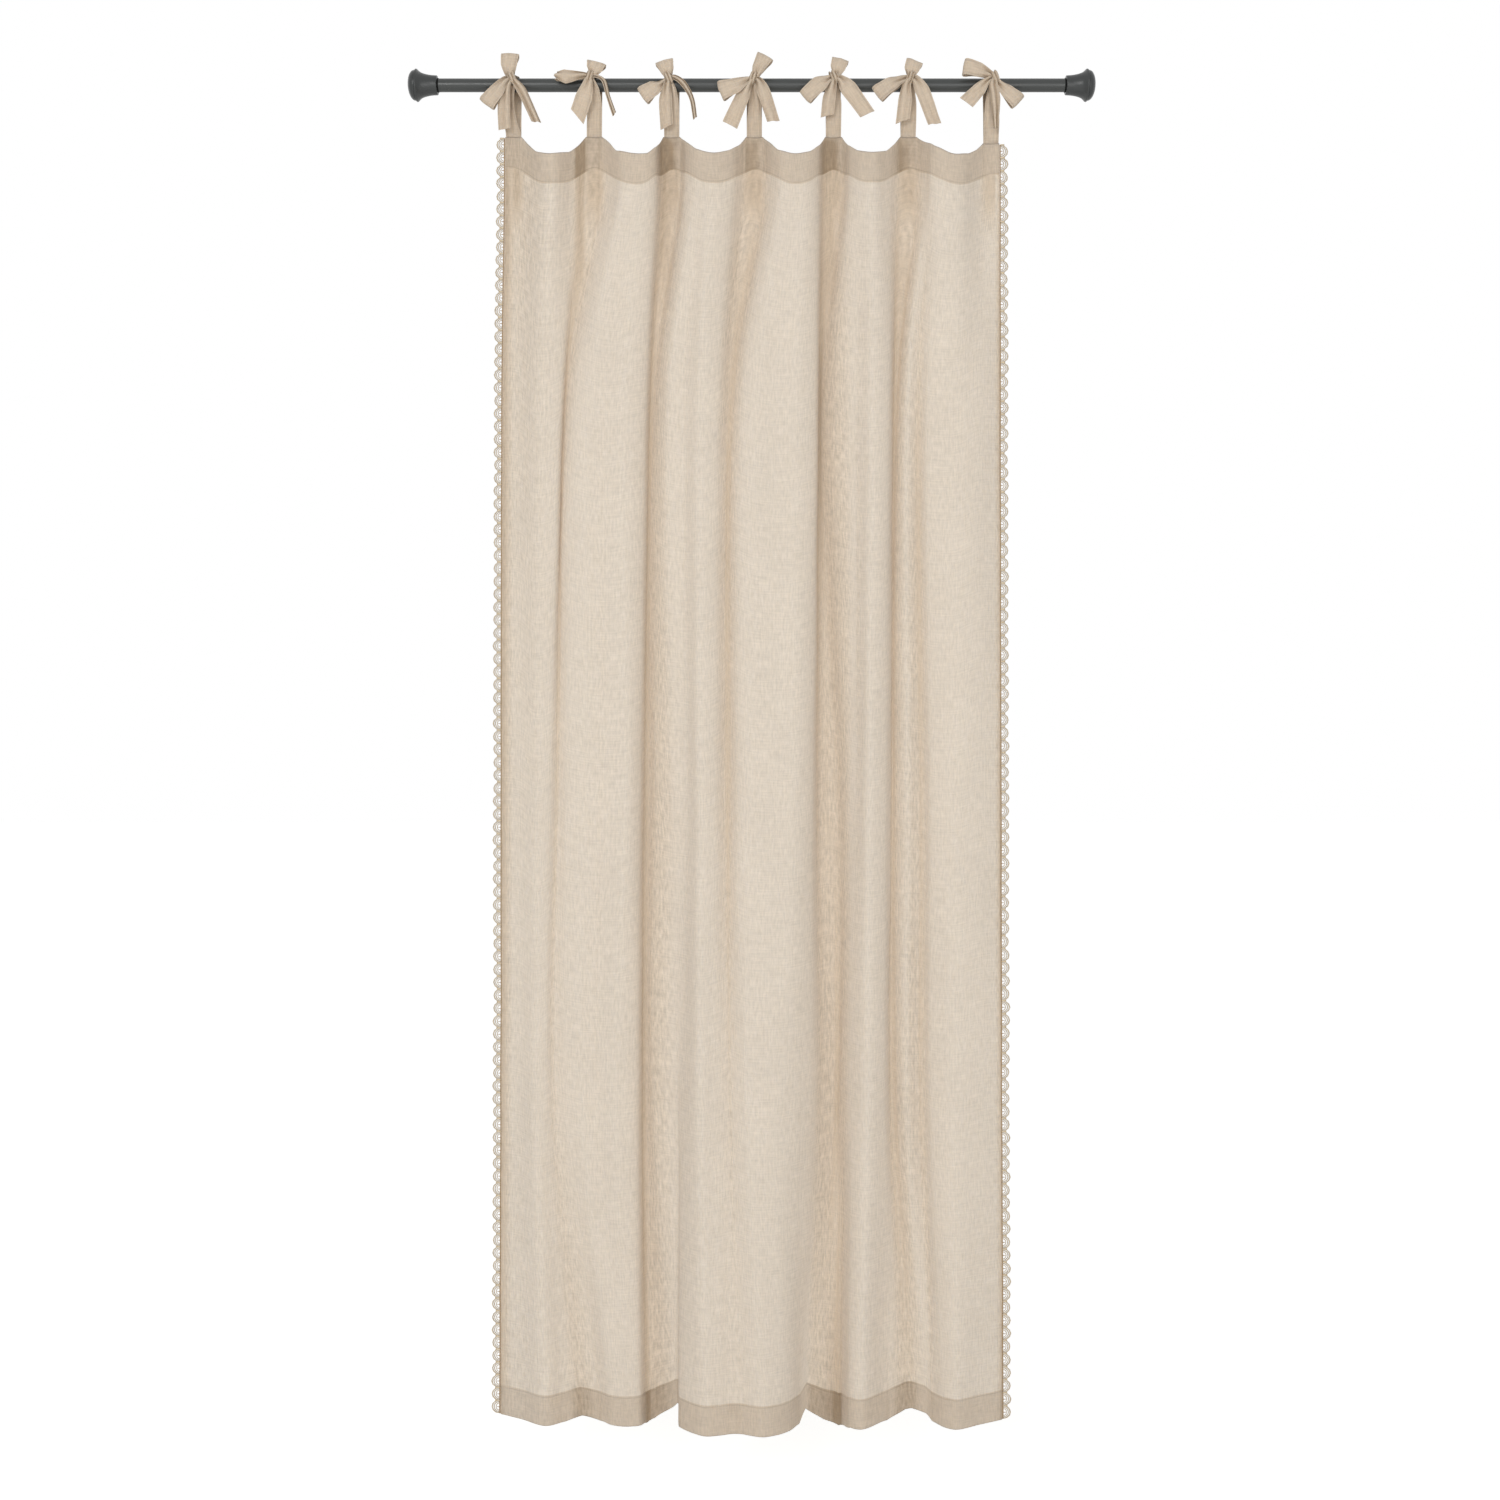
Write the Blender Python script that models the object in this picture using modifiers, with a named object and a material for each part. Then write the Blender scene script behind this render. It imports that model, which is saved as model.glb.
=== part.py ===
"""Linen tie-top curtain, tied with seven bows to its rod, with a lace border down both sides.

The frame: origin on the rod's axis at its middle, +X to the right, +Z up, the room on the -Y side.
Forward, in the names below, is the distance towards the room, along -Y.
"""
import math

import bmesh
import bpy
from mathutils import Matrix, Vector

# Rod and its ends
ROD_RADIUS = 0.0120
ROD_WALL = 0.0012
ROD_SHOWN = 1.1620
SOCKET_DEPTH = 0.0310
SOCKET_CLEARANCE = 0.0003
COLLAR_RADIUS = 0.0172
RIM_RADIUS = 0.0290
FINIAL_LENGTH = 0.0380
RIM_WIDTH = 0.0018
RIM_BEVEL = 0.0010
FLARE_POWER = 3.2
MOUTH_RADIUS = 0.0200
MOUTH_DEPTH = 0.0085
CAP_RADIUS = 0.0268
CAP_HEIGHT = 0.0131
CAP_FACE_RADIUS = 0.0110
CAP_POWER = 2.6
GROOVE = 0.0005

# Cloth
HUNG_WIDTH = 0.9170
STRAP_DROP = 0.0960
CURTAIN_DROP = 2.4565
CLOTH_THICKNESS = 0.0008
HEADER_HEIGHT = 0.0570
HEM_HEIGHT = 0.0550
SEAM_STEP = 0.0020
HEADER_SAG = 0.0450
SAG_POWER = 3.5
CELL_WIDTH = 0.0550
CELL_HEIGHT = 0.2300

# Ties
TIE_WIDTH = 0.0280
TIE_THICKNESS = 0.0012
TIE_CENTRES = (-0.4410, -0.2915, -0.1480, 0.0050, 0.1515, 0.2900, 0.4435)
TAB_LOWER = (0.0, 0.0, 0.0, 0.0, 0.0, 0.0, 0.0120)
TAB_MARGIN = 0.0010
TIE_CLEARANCE = 0.0003
TIE_FOLD_GAP = 0.0006
TIE_FOOT_INSET = 0.0040
STRAP_NECK = 0.0120
STRAP_GATHER = 0.0260
KNOT_FORWARD = 0.0205
KNOT_SIZE = (0.0095, 0.0070, 0.0085)
LOOP_OPENING = 0.0120
LOOP_NOSE = 0.0040
KNOT_ENTRY = 0.0080
KNOT_LAYER = 0.0009

# Lace
LACE_WIDTH = 0.0160
LACE_PITCH = 0.0239
LACE_THICKNESS = 0.0008
LACE_SCALLOP = 0.0070
LACE_EYE_INSET = 0.0030
LACE_EYE_DEPTH = 0.0065
LACE_EYE_SPAN = 0.68
LACE_CLEARANCE = 0.0003

# Fold table, read down the cloth at its header, one quarter, half, three quarters and hem.
# Each fold line: its places across in mm from the rod's middle, then how far forward in mm.
# A name that starts with tab_ is one edge of a tie's flat seat, and its first place follows the tie.
FOLDS_DRAWN_AT = 0.9170
FOLDS = (
    ("tab_1_left", (-458, -459, -459, -459, -458), (0, 12, 20, 25, 30)),
    ("tab_1_right", (-425, -427, -425, -423, -419), (0, 15, 30, 40, 45)),
    ("gap_1", (-362, -390, -395, -398, -373), (48, 62, 66, 66, 62)),
    ("tab_2_left", (-306, -360, -374, -373, -325), (0, 8, 16, 22, 14)),
    ("tab_2_right", (-277, -338, -352, -352, -294), (0, 6, 12, 18, 12)),
    ("gap_2", (-218, -264, -271, -264, -222), (50, 64, 66, 68, 65)),
    ("gap_2_lip", (-186, -215, -218, -229, -211), (38, 45, 50, 52, 40)),
    ("tab_3_left", (-163, -198, -202, -214, -190), (0, -8, -20, -30, -42)),
    ("tab_3_right", (-133, -177, -181, -186, -131), (0, -5, -15, -30, -46)),
    ("panel_rise", (-108, -142, -153, -154, -115), (36, 35, 28, 5, -30)),
    ("panel_left", (-93, -112, -123, -128, -134), (46, 58, 62, 62, 60)),
    ("gap_3", (-71, -83, -97, -89, -85), (50, 68, 84, 98, 108)),
    ("tab_4_left", (-10, -51, -70, -61, -39), (0, 20, 46, 78, 97)),
    ("tab_4_right", (21, -31, -49, -37, -17), (0, 20, 46, 78, 97)),
    ("gap_4", (78, 37, 11, 11, 22), (50, 66, 80, 98, 110)),
    ("panel_shoulder", (103, 81, 73, 69, 69), (42, 56, 66, 78, 85)),
    ("panel_right", (118, 110, 107, 99, 87), (28, 35, 42, 48, 52)),
    ("tab_5_left", (136, 130, 127, 120, 96), (0, -5, -10, -20, -34)),
    ("tab_5_right", (167, 160, 156, 153, 138), (0, 0, -8, -18, -10)),
    ("gap_5", (219, 208, 207, 207, 194), (50, 62, 66, 72, 78)),
    ("tab_6_left", (274, 252, 250, 245, 279), (0, 2, 0, -5, -25)),
    ("tab_6_right", (306, 271, 269, 268, 307), (0, 2, 0, -5, -28)),
    ("ridge", (321, 287, 286, 284, 321), (20, 22, 20, 14, 15)),
    ("second_valley", (337, 308, 309, 314, 339), (36, 14, 8, 8, 50)),
    ("gap_6", (378, 351, 351, 355, 367), (50, 62, 66, 72, 79)),
    ("tab_7_left", (428, 415, 414, 413, 416), (0, 30, 40, 45, 50)),
    ("tab_7_right", (459, 457, 458, 458, 458), (0, 15, 20, 25, 29)),
)

# Bows, one row for each tie: the knot's place, then each loop or tail from the knot outwards.
# A place is (across from the tie's centre, height over the rod's axis, forward, ribbon width) in mm.
BOWS = (
    {"knot": (0, 6),
     "top_loop": ((-3, 12, 22, 18), (-4, 28, 28, 30), (-3, 46, 25, 32)),
     "side_loop": ((-10, 1, 24, 15), (-27, -23, 32, 27), (-43, -43, 34, 31)),
     "front_tail": ((-8, -7, 25, 13), (-14, -44, 24, 24), (-14, -86, 14, 25)),
     "side_tail": ((4, 1, 24, 11), (18, -18, 24, 17), (45, -75, 20, 13))},
    {"knot": (-6, 9),
     "top_loop": ((-1, 14, 22, 18), (3, 21, 27, 30), (6, 31, 25, 35)),
     "side_loop": ((-16, 10, 24, 11), (-50, 3, 35, 26), (-64, 6, 34, 14)),
     "front_tail": ((-8, -3, 25, 17), (-17, -33, 26, 31), (-29, -66, 22, 29)),
     "side_tail": ((6, 9, 22, 7), (19, 1, 24, 8), (28, -28, 22, 7), (39, -60, 18, 8))},
    {"knot": (-5, 6),
     "top_loop": ((-6, 12, 22, 18), (-8, 20, 27, 26), (-12, 34, 25, 33)),
     "side_loop": ((-17, -5, 24, 13), (-31, -17, 32, 28), (-49, -29, 34, 33)),
     "front_tail": ((-7, -7, 25, 17), (-9, -36, 24, 28), (-7, -82, 14, 25)),
     "side_tail": ((5, 7, 22, 9), (20, -3, 24, 11), (37, -30, 22, 8), (44, -67, 18, 7))},
    {"knot": (-2, 6),
     "top_loop": ((3, 12, 22, 15), (7, 21, 27, 22), (19, 43, 25, 31)),
     "side_loop": ((-14, 1, 24, 15), (-34, -12, 32, 28), (-59, -21, 34, 35)),
     "front_tail": ((-10, -6, 25, 13), (-23, -33, 26, 26), (-45, -82, 24, 30)),
     "side_tail": ((7, 1, 23, 13), (16, -19, 26, 24), (35, -75, 24, 22))},
    {"knot": (0, 8),
     "top_loop": ((4, 14, 22, 18), (7, 23, 27, 28), (11, 37, 25, 31)),
     "side_loop": ((-9, 4, 24, 13), (-28, -10, 32, 30), (-51, -31, 34, 28)),
     "front_tail": ((-3, -7, 25, 15), (-9, -33, 24, 26), (-12, -63, 18, 26)),
     "side_tail": ((11, 3, 23, 15), (26, -15, 26, 31), (61, -63, 26, 28))},
    {"knot": (2, 8),
     "top_loop": ((3, 12, 22, 18), (4, 20, 27, 28), (9, 34, 25, 31)),
     "side_loop": ((-16, 1, 24, 15), (-35, -10, 32, 26), (-57, -26, 34, 31)),
     "front_tail": ((-5, -7, 25, 17), (-8, -36, 24, 28), (-12, -73, 18, 26)),
     "side_tail": ((10, 3, 23, 15), (23, -19, 26, 26), (46, -81, 26, 23))},
    {"knot": (3, 7),
     "top_loop": ((-7, 12, 24, 13), (-27, 17, 32, 26), (-51, 22, 34, 30)),
     "side_loop": ((11, -5, 24, 13), (25, -22, 30, 26), (43, -39, 32, 30)),
     "front_tail": ((0, -8, 27, 15), (4, -33, 26, 17), (6, -87, 22, 8)),
     "side_tail": ((-9, 1, 24, 11), (-26, -18, 28, 24), (-50, -43, 30, 29))},
)

# Facets
ROD_SIDES = 12
KNOT_SIDES = 5
KNOT_RINGS = 3
FLARE_POINTS = 4
DOME_POINTS = 3
LACE_RUN = 7
WRAP_STEPS = 3

LINEN = (0.68, 0.58, 0.45)
RIBBON = (0.55, 0.45, 0.33)
CREAM = (0.84, 0.75, 0.58)
ANTHRACITE = (0.10, 0.10, 0.10)

MM = 0.001


def clear_scene():
    for thing in list(bpy.data.objects):
        bpy.data.objects.remove(thing, do_unlink=True)


def collection(name):
    group = bpy.data.collections.new(name)
    bpy.context.scene.collection.children.link(group)
    return group


def material(name, colour, roughness, metallic=0.0):
    made = bpy.data.materials.new(name)
    made.use_nodes = True
    shader = made.node_tree.nodes["Principled BSDF"]
    shader.inputs["Base Color"].default_value = (*colour, 1.0)
    shader.inputs["Roughness"].default_value = roughness
    shader.inputs["Metallic"].default_value = metallic
    return made


def add_object(name, mesh, group, look):
    thing = bpy.data.objects.new(name, mesh)
    group.objects.link(thing)
    mesh.materials.clear()
    mesh.materials.append(look)
    return thing


def hide_helper(thing):
    thing.hide_render = True
    thing.display_type = "WIRE"


def grid_mesh(name, columns, rows, place):
    """A grid of quads whose corner (column, row) stands at place(column, row), and each corner's row."""
    shape = bmesh.new()
    bmesh.ops.create_grid(shape, x_segments=columns, y_segments=rows, size=0.5)
    corner_rows = []
    for corner in shape.verts:
        column = round((corner.co.x + 0.5) * columns)
        row = round((corner.co.y + 0.5) * rows)
        corner.co = place(column, row)
        corner_rows.append(row)
    mesh = bpy.data.meshes.new(name)
    shape.to_mesh(mesh)
    shape.free()
    return mesh, corner_rows


def mix(a, b, share):
    return a + (b - a) * share


def smooth_level(values, share):
    """A smooth curve through equally spaced values, at share 0 to 1 of its length."""
    spans = len(values) - 1
    span = min(int(share * spans), spans - 1)
    t = share * spans - span
    before = values[max(span - 1, 0)]
    a, b = values[span], values[span + 1]
    after = values[min(span + 2, spans)]
    return 0.5 * (2 * a + (b - before) * t + (2 * before - 5 * a + 4 * b - after) * t * t
                  + (3 * a - before - 3 * b + after) * t ** 3)


def smooth_between(p0, p1, p2, p3, t):
    """The point at share t between p1 and p2, on a curve that keeps close to its points."""
    k1 = max((p1 - p0).length, 1e-6) ** 0.5
    k2 = k1 + max((p2 - p1).length, 1e-6) ** 0.5
    k3 = k2 + max((p3 - p2).length, 1e-6) ** 0.5
    k = mix(k1, k2, t)
    a1 = p0.lerp(p1, k / k1)
    a2 = p1.lerp(p2, (k - k1) / (k2 - k1))
    a3 = p2.lerp(p3, (k - k2) / (k3 - k2))
    b1 = a1.lerp(a2, k / k2)
    b2 = a2.lerp(a3, (k - k1) / (k3 - k1))
    return b1.lerp(b2, (k - k1) / (k2 - k1))


def spread():
    """How much wider the curtain hangs than the fold table was drawn."""
    return HUNG_WIDTH / FOLDS_DRAWN_AT


def tie_centre(number):
    return TIE_CENTRES[number] * spread()


def seat_half():
    """Half of the flat seat that the cloth gives a tie."""
    return TIE_WIDTH / 2 + TAB_MARGIN


def fold_line(fold, share):
    """A fold line's place (across, forward) at share 0 to 1 of the way from header to hem."""
    name, across, forward = fold
    places = [value * MM * spread() for value in across]
    if name.startswith("tab_"):
        number, side = int(name[4]) - 1, name[6:]
        places[0] = tie_centre(number) + seat_half() * (1 if side == "right" else -1)
    depths = [value * MM for value in forward]
    return Vector((smooth_level(places, share), smooth_level(depths, share)))


def fold_steps():
    """How many cells each stretch between fold lines takes: a tie's flat seat stays one cell."""
    steps = []
    for left, right in zip(FOLDS, FOLDS[1:]):
        if left[0].startswith("tab_") and left[0].endswith("left"):
            steps.append(1)
            continue
        shares = [level / 4 for level in range(5)]
        widest = max((fold_line(right, share) - fold_line(left, share)).length for share in shares)
        steps.append(max(1, math.ceil(widest / CELL_WIDTH)))
    return steps


def fold_section(share, steps):
    """The cloth's section at one height: a list of (across, forward) places."""
    lines = [fold_line(fold, share) for fold in FOLDS]
    first = lines[0] * 2 - lines[1]
    last = lines[-1] * 2 - lines[-2]
    padded = [first] + lines + [last]
    section = []
    for index, count in enumerate(steps):
        four = padded[index:index + 4]
        section += [smooth_between(*four, step / count) for step in range(count)]
    section.append(lines[-1])
    return section


def header_top(across):
    """The height of the header's upper edge, which sags between two ties."""
    seats = [(tie_centre(n), -STRAP_DROP - lower) for n, lower in enumerate(TAB_LOWER)]
    if across <= seats[0][0] + seat_half():
        return seats[0][1]
    for left, right in zip(seats, seats[1:]):
        start, end = left[0] + seat_half(), right[0] - seat_half()
        if across <= start:
            return left[1]
        if across < end:
            share = (across - start) / (end - start)
            sag = HEADER_SAG * (1 - abs(2 * share - 1) ** SAG_POWER)
            return mix(left[1], right[1], share) - sag
    return seats[-1][1]


def cloth_rows():
    """Rows as (below the header's edge, share of the body, over the hem's edge, layers)."""
    body = CURTAIN_DROP - STRAP_DROP - HEADER_HEIGHT - HEM_HEIGHT
    count = max(2, round(body / CELL_HEIGHT))
    rows = [(0.0, None, None, 2), (HEADER_HEIGHT, None, None, 2)]
    rows += [(None, step / count, None, 1) for step in range(count + 1)]
    rows += [(None, None, HEM_HEIGHT, 2), (None, None, 0.0, 2)]
    return rows


def row_height(row, top):
    below, share, above, _ = row
    if below is not None:
        return top - below
    if above is not None:
        return -CURTAIN_DROP + above
    start = top - HEADER_HEIGHT - SEAM_STEP
    end = -CURTAIN_DROP + HEM_HEIGHT + SEAM_STEP
    return mix(start, end, share)


def fold_share(height):
    """Share 0 in the header, which hangs plumb, to 1 at the hem."""
    start = -STRAP_DROP - HEADER_HEIGHT - HEADER_SAG
    return min(1.0, max(0.0, (start - height) / (start + CURTAIN_DROP)))


def cloth_points():
    """The cloth's places as rows of columns."""
    steps = fold_steps()
    top_section = fold_section(0.0, steps)
    tops = [header_top(place.x) for place in top_section]
    points = []
    for row in cloth_rows():
        heights = [row_height(row, top) for top in tops]
        line = []
        for column, height in enumerate(heights):
            place = fold_section(fold_share(height), steps)[column]
            line.append(Vector((place.x, -place.y, height)))
        points.append(line)
    return points


def make_cloth(group, look, points):
    """The panel: one sheet given its thickness, twice as thick where header and hem are folded double."""
    rows, columns = len(points) - 1, len(points[0]) - 1
    mesh, corner_rows = grid_mesh("curtain_panel", columns, rows, lambda c, r: points[rows - r][c])
    cloth = add_object("curtain_panel", mesh, group, look)
    layers = cloth.vertex_groups.new(name="layers")
    counts = [row[3] for row in cloth_rows()]
    most = max(counts)
    for index, row in enumerate(corner_rows):
        layers.add([index], counts[rows - row] / most, "REPLACE")
    skin = cloth.modifiers.new("thickness", "SOLIDIFY")
    skin.thickness = CLOTH_THICKNESS * most
    skin.offset = 0.0
    skin.vertex_group = layers.name
    return cloth


def lace_run_outlines(pitch):
    """A short run of scallops lying flat: (outward, down) places of its outline and of its eyes."""
    valley = LACE_WIDTH - LACE_SCALLOP
    half = pitch * LACE_EYE_SPAN / 2
    outline = [(0.0, 0.0), (valley, 0.0)]
    eyes = []
    for number in range(LACE_RUN):
        middle = (number + 0.5) * pitch
        outline += [(LACE_WIDTH, middle), (valley, (number + 1) * pitch)]
        tip = (LACE_EYE_INSET + LACE_EYE_DEPTH, middle)
        eyes.append([(LACE_EYE_INSET, middle - half), tip, (LACE_EYE_INSET, middle + half)])
    outline.append((0.0, LACE_RUN * pitch))
    return [outline] + eyes


def repeated_mesh(name, outlines, count, pitch):
    """A flat strip: one filled outline with its holes, repeated along Y and welded."""
    curve = bpy.data.curves.new(name, "CURVE")
    curve.dimensions = "2D"
    curve.fill_mode = "BOTH"
    for outline in outlines:
        spline = curve.splines.new("POLY")
        spline.points.add(len(outline) - 1)
        for point, (x, y) in zip(spline.points, outline):
            point.co = (x, y, 0.0, 1.0)
        spline.use_cyclic_u = True
    helper = bpy.data.objects.new(name, curve)
    bpy.context.scene.collection.objects.link(helper)
    bpy.context.view_layer.update()
    filled = helper.evaluated_get(bpy.context.evaluated_depsgraph_get())
    mesh = bpy.data.meshes.new_from_object(filled)
    bpy.data.objects.remove(helper, do_unlink=True)
    bpy.data.curves.remove(curve)
    shape = bmesh.new()
    shape.from_mesh(mesh)
    single = shape.verts[:] + shape.edges[:] + shape.faces[:]
    for number in range(1, count):
        copied = bmesh.ops.duplicate(shape, geom=single)["geom"]
        corners = [item for item in copied if isinstance(item, bmesh.types.BMVert)]
        bmesh.ops.translate(shape, verts=corners, vec=(0.0, number * pitch, 0.0))
    bmesh.ops.remove_doubles(shape, verts=shape.verts, dist=0.00001)
    shape.to_mesh(mesh)
    shape.free()
    return mesh


def edge_place(edge, height):
    """The place of the cloth's side edge at a height, along its own straight stretches."""
    for upper, lower in zip(edge, edge[1:]):
        if height >= lower.z:
            share = (upper.z - height) / (upper.z - lower.z)
            return upper.lerp(lower, max(0.0, share))
    return edge[-1]


def make_lace(name, side, group, look, edge):
    top, bottom = edge[0].z, edge[-1].z
    runs = max(1, round((top - bottom) / (LACE_PITCH * LACE_RUN)))
    pitch = (top - bottom) / (runs * LACE_RUN)
    mesh = repeated_mesh(name, lace_run_outlines(pitch), runs, pitch * LACE_RUN)
    for corner in mesh.vertices:
        outward, down, _ = corner.co
        anchor = edge_place(edge, top - down)
        corner.co = (anchor.x + side * (LACE_CLEARANCE + outward), anchor.y, top - down)
    lace = add_object(name, mesh, group, look)
    skin = lace.modifiers.new("thickness", "SOLIDIFY")
    skin.thickness = LACE_THICKNESS
    skin.offset = 0.0
    return lace


def ribbon_mesh(name, stations):
    """A flat ribbon through stations, each a middle and a vector to its right edge."""
    def place(column, row):
        middle, half = stations[column]
        return middle + half * (1 if row else -1)
    return grid_mesh(name, len(stations) - 1, 1, place)[0]


def solid_ribbon(name, stations, group, look):
    thing = add_object(name, ribbon_mesh(name, stations), group, look)
    skin = thing.modifiers.new("thickness", "SOLIDIFY")
    skin.thickness = TIE_THICKNESS
    skin.offset = 0.0
    return thing


def strap_stations(centre, top_edge, knot):
    """The tie's strap: knot, down in front of the rod, behind the header, up and over the rod."""
    wrap = math.radians(180) / WRAP_STEPS
    path_radius = (ROD_RADIUS + TIE_CLEARANCE + TIE_THICKNESS / 2) / math.cos(wrap / 2)
    seat = -(CLOTH_THICKNESS + TIE_CLEARANCE + TIE_THICKNESS / 2)
    back = seat - TIE_THICKNESS - TIE_FOLD_GAP
    foot = top_edge - HEADER_HEIGHT + TIE_FOOT_INSET
    shoulder = mix(path_radius, KNOT_FORWARD, 0.5)
    half_gathered = mix(STRAP_NECK, TIE_WIDTH, 0.5)
    path = [
        (KNOT_FORWARD, knot.z, knot.x, STRAP_NECK),
        (shoulder, knot.z - STRAP_GATHER / 2, mix(centre, knot.x, 0.5), half_gathered),
        (path_radius, knot.z - STRAP_GATHER, centre, TIE_WIDTH),
        (seat, top_edge + SEAM_STEP, centre, TIE_WIDTH),
        (seat, foot, centre, TIE_WIDTH),
        (back, foot, centre, TIE_WIDTH),
        (back, top_edge, centre, TIE_WIDTH),
    ]
    for step in range(WRAP_STEPS):
        angle = math.radians(180) - wrap * step
        path.append((math.cos(angle) * path_radius, math.sin(angle) * path_radius, centre, TIE_WIDTH))
    path.append((shoulder, knot.z + KNOT_SIZE[2] / 3, knot.x, STRAP_NECK))
    return [(Vector((across, -forward, height)), Vector((width / 2, 0, 0)))
            for forward, height, across, width in path]


def flying_stations(places):
    """Stations of a loop or tail: the ribbon's width lies square to its run, facing the room."""
    middles = [Vector((across, -forward, height)) for across, height, forward, _ in places]
    stations = []
    for index, (middle, place) in enumerate(zip(middles, places)):
        run = middles[min(index + 1, len(middles) - 1)] - middles[max(index - 1, 0)]
        square = Vector((run.z, 0, -run.x)).normalized()
        stations.append((middle, square * place[3] / 2))
    return stations


def loop_stations(places):
    """A loop goes out, turns at its nose and comes back behind itself."""
    out = flying_stations(places)
    (middle, half), before = out[-1], out[-2][0]
    away = Vector((middle.x - before.x, 0, middle.z - before.z)).normalized()
    nose = (middle + away * LOOP_NOSE + Vector((0, LOOP_OPENING / 2, 0)), half)
    turn = (middle + Vector((0, LOOP_OPENING, 0)), half)
    end = (out[0][0] + Vector((0, KNOT_SIZE[1] / 2, 0)), out[0][1])
    return out + [nose, turn, end]


def knot_lump(name, centre, group, look):
    shape = bmesh.new()
    bmesh.ops.create_uvsphere(shape, u_segments=KNOT_SIDES, v_segments=KNOT_RINGS, radius=1.0,
                              matrix=Matrix.Translation(centre) @ Matrix.Diagonal((*KNOT_SIZE, 1.0)))
    mesh = bpy.data.meshes.new(name)
    shape.to_mesh(mesh)
    shape.free()
    return add_object(name, mesh, group, look)


def make_tie(number, group, helpers, look):
    centre = tie_centre(number)
    bow = BOWS[number]
    across, height = bow["knot"]
    knot = Vector((centre + across * MM, -KNOT_FORWARD, height * MM))
    top_edge = -STRAP_DROP - TAB_LOWER[number]
    name = f"tie_{number + 1}"
    tie = solid_ribbon(name, strap_stations(centre, top_edge, knot), group, look)
    joined = [knot_lump(f"{name}_knot", knot, helpers, look)]
    for layer, part in enumerate(("top_loop", "side_loop", "side_tail", "front_tail")):
        start = (knot.x, knot.z, KNOT_FORWARD + (layer - 1.5) * KNOT_LAYER, KNOT_ENTRY)
        places = [start] + [(centre + x * MM, z * MM, f * MM, w * MM) for x, z, f, w in bow[part]]
        stations = loop_stations(places) if part.endswith("loop") else flying_stations(places)
        joined.append(solid_ribbon(f"{name}_{part}", stations, helpers, look))
    for index, helper in enumerate(joined):
        hide_helper(helper)
        union = tie.modifiers.new(f"join_{index}", "BOOLEAN")
        union.operation = "UNION"
        union.solver = "EXACT"
        union.use_self = True
        union.object = helper
    return tie


def turned(name, profile, group, look, closed):
    """A turned piece on the Z axis from a profile of (radius, height) places."""
    mesh = bpy.data.meshes.new(name)
    corners = [(radius, 0.0, height) for radius, height in profile]
    edges = [(index, index + 1) for index in range(len(corners) - 1)]
    if closed:
        edges.append((len(corners) - 1, 0))
    mesh.from_pydata(corners, edges, [])
    thing = add_object(name, mesh, group, look)
    spin = thing.modifiers.new("turn", "SCREW")
    spin.axis = "Z"
    spin.steps = ROD_SIDES
    spin.render_steps = ROD_SIDES
    spin.use_merge_vertices = True
    spin.merge_threshold = 0.00001
    spin.use_smooth_shade = True
    return thing


def finial_profile():
    """The bell: flared outside from the rim down to the collar, then the socket and the mouth."""
    outer = [(RIM_RADIUS - RIM_BEVEL, FINIAL_LENGTH + RIM_WIDTH)]
    for step in range(FLARE_POINTS + 1):
        share = 1 - step / FLARE_POINTS
        flare = (RIM_RADIUS - COLLAR_RADIUS) * share ** FLARE_POWER
        outer.append((COLLAR_RADIUS + flare, FINIAL_LENGTH * share))
    bore = ROD_RADIUS + SOCKET_CLEARANCE
    mouth = FINIAL_LENGTH + RIM_WIDTH - MOUTH_DEPTH
    inner = [(bore, 0.0), (bore, mouth), (MOUTH_RADIUS, mouth), (MOUTH_RADIUS, FINIAL_LENGTH + RIM_WIDTH)]
    return outer + inner


def cap_profile():
    """The domed end: a small flat face, the dome, the ledge on the rim and the plug in the mouth."""
    base = FINIAL_LENGTH + RIM_WIDTH + GROOVE
    crown = (1 - (CAP_FACE_RADIUS / CAP_RADIUS) ** CAP_POWER) ** (1 / CAP_POWER)
    dome = [(0.0, base + CAP_HEIGHT * crown)]
    for step in range(DOME_POINTS + 1):
        radius = mix(CAP_FACE_RADIUS, CAP_RADIUS, math.sin(math.pi / 2 * step / DOME_POINTS))
        rise = max(0.0, 1 - (radius / CAP_RADIUS) ** CAP_POWER) ** (1 / CAP_POWER)
        dome.append((radius, base + CAP_HEIGHT * rise))
    plug = MOUTH_RADIUS - SOCKET_CLEARANCE
    floor = FINIAL_LENGTH + RIM_WIDTH - MOUTH_DEPTH + SOCKET_CLEARANCE
    return dome + [(plug, base), (plug, floor), (0.0, floor)]


def make_rod(group, looks):
    """The tube, with a bell and a domed cap at each end."""
    half = ROD_SHOWN / 2 + SOCKET_DEPTH
    inner = ROD_RADIUS - ROD_WALL
    profile = [(ROD_RADIUS, half), (ROD_RADIUS, -half), (inner, -half), (inner, half)]
    tube = turned("rod_tube", profile, group, looks["tube"], True)
    tube.rotation_euler = (0, math.pi / 2, 0)
    for side, label in ((-1, "left"), (1, "right")):
        for name, outline, closed in (("finial", finial_profile(), True), ("end_cap", cap_profile(), False)):
            piece = turned(f"{name}_{label}", outline, group, looks[name], closed)
            piece.location = (side * ROD_SHOWN / 2, 0, 0)
            piece.rotation_euler = (0, side * math.pi / 2, 0)


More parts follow.
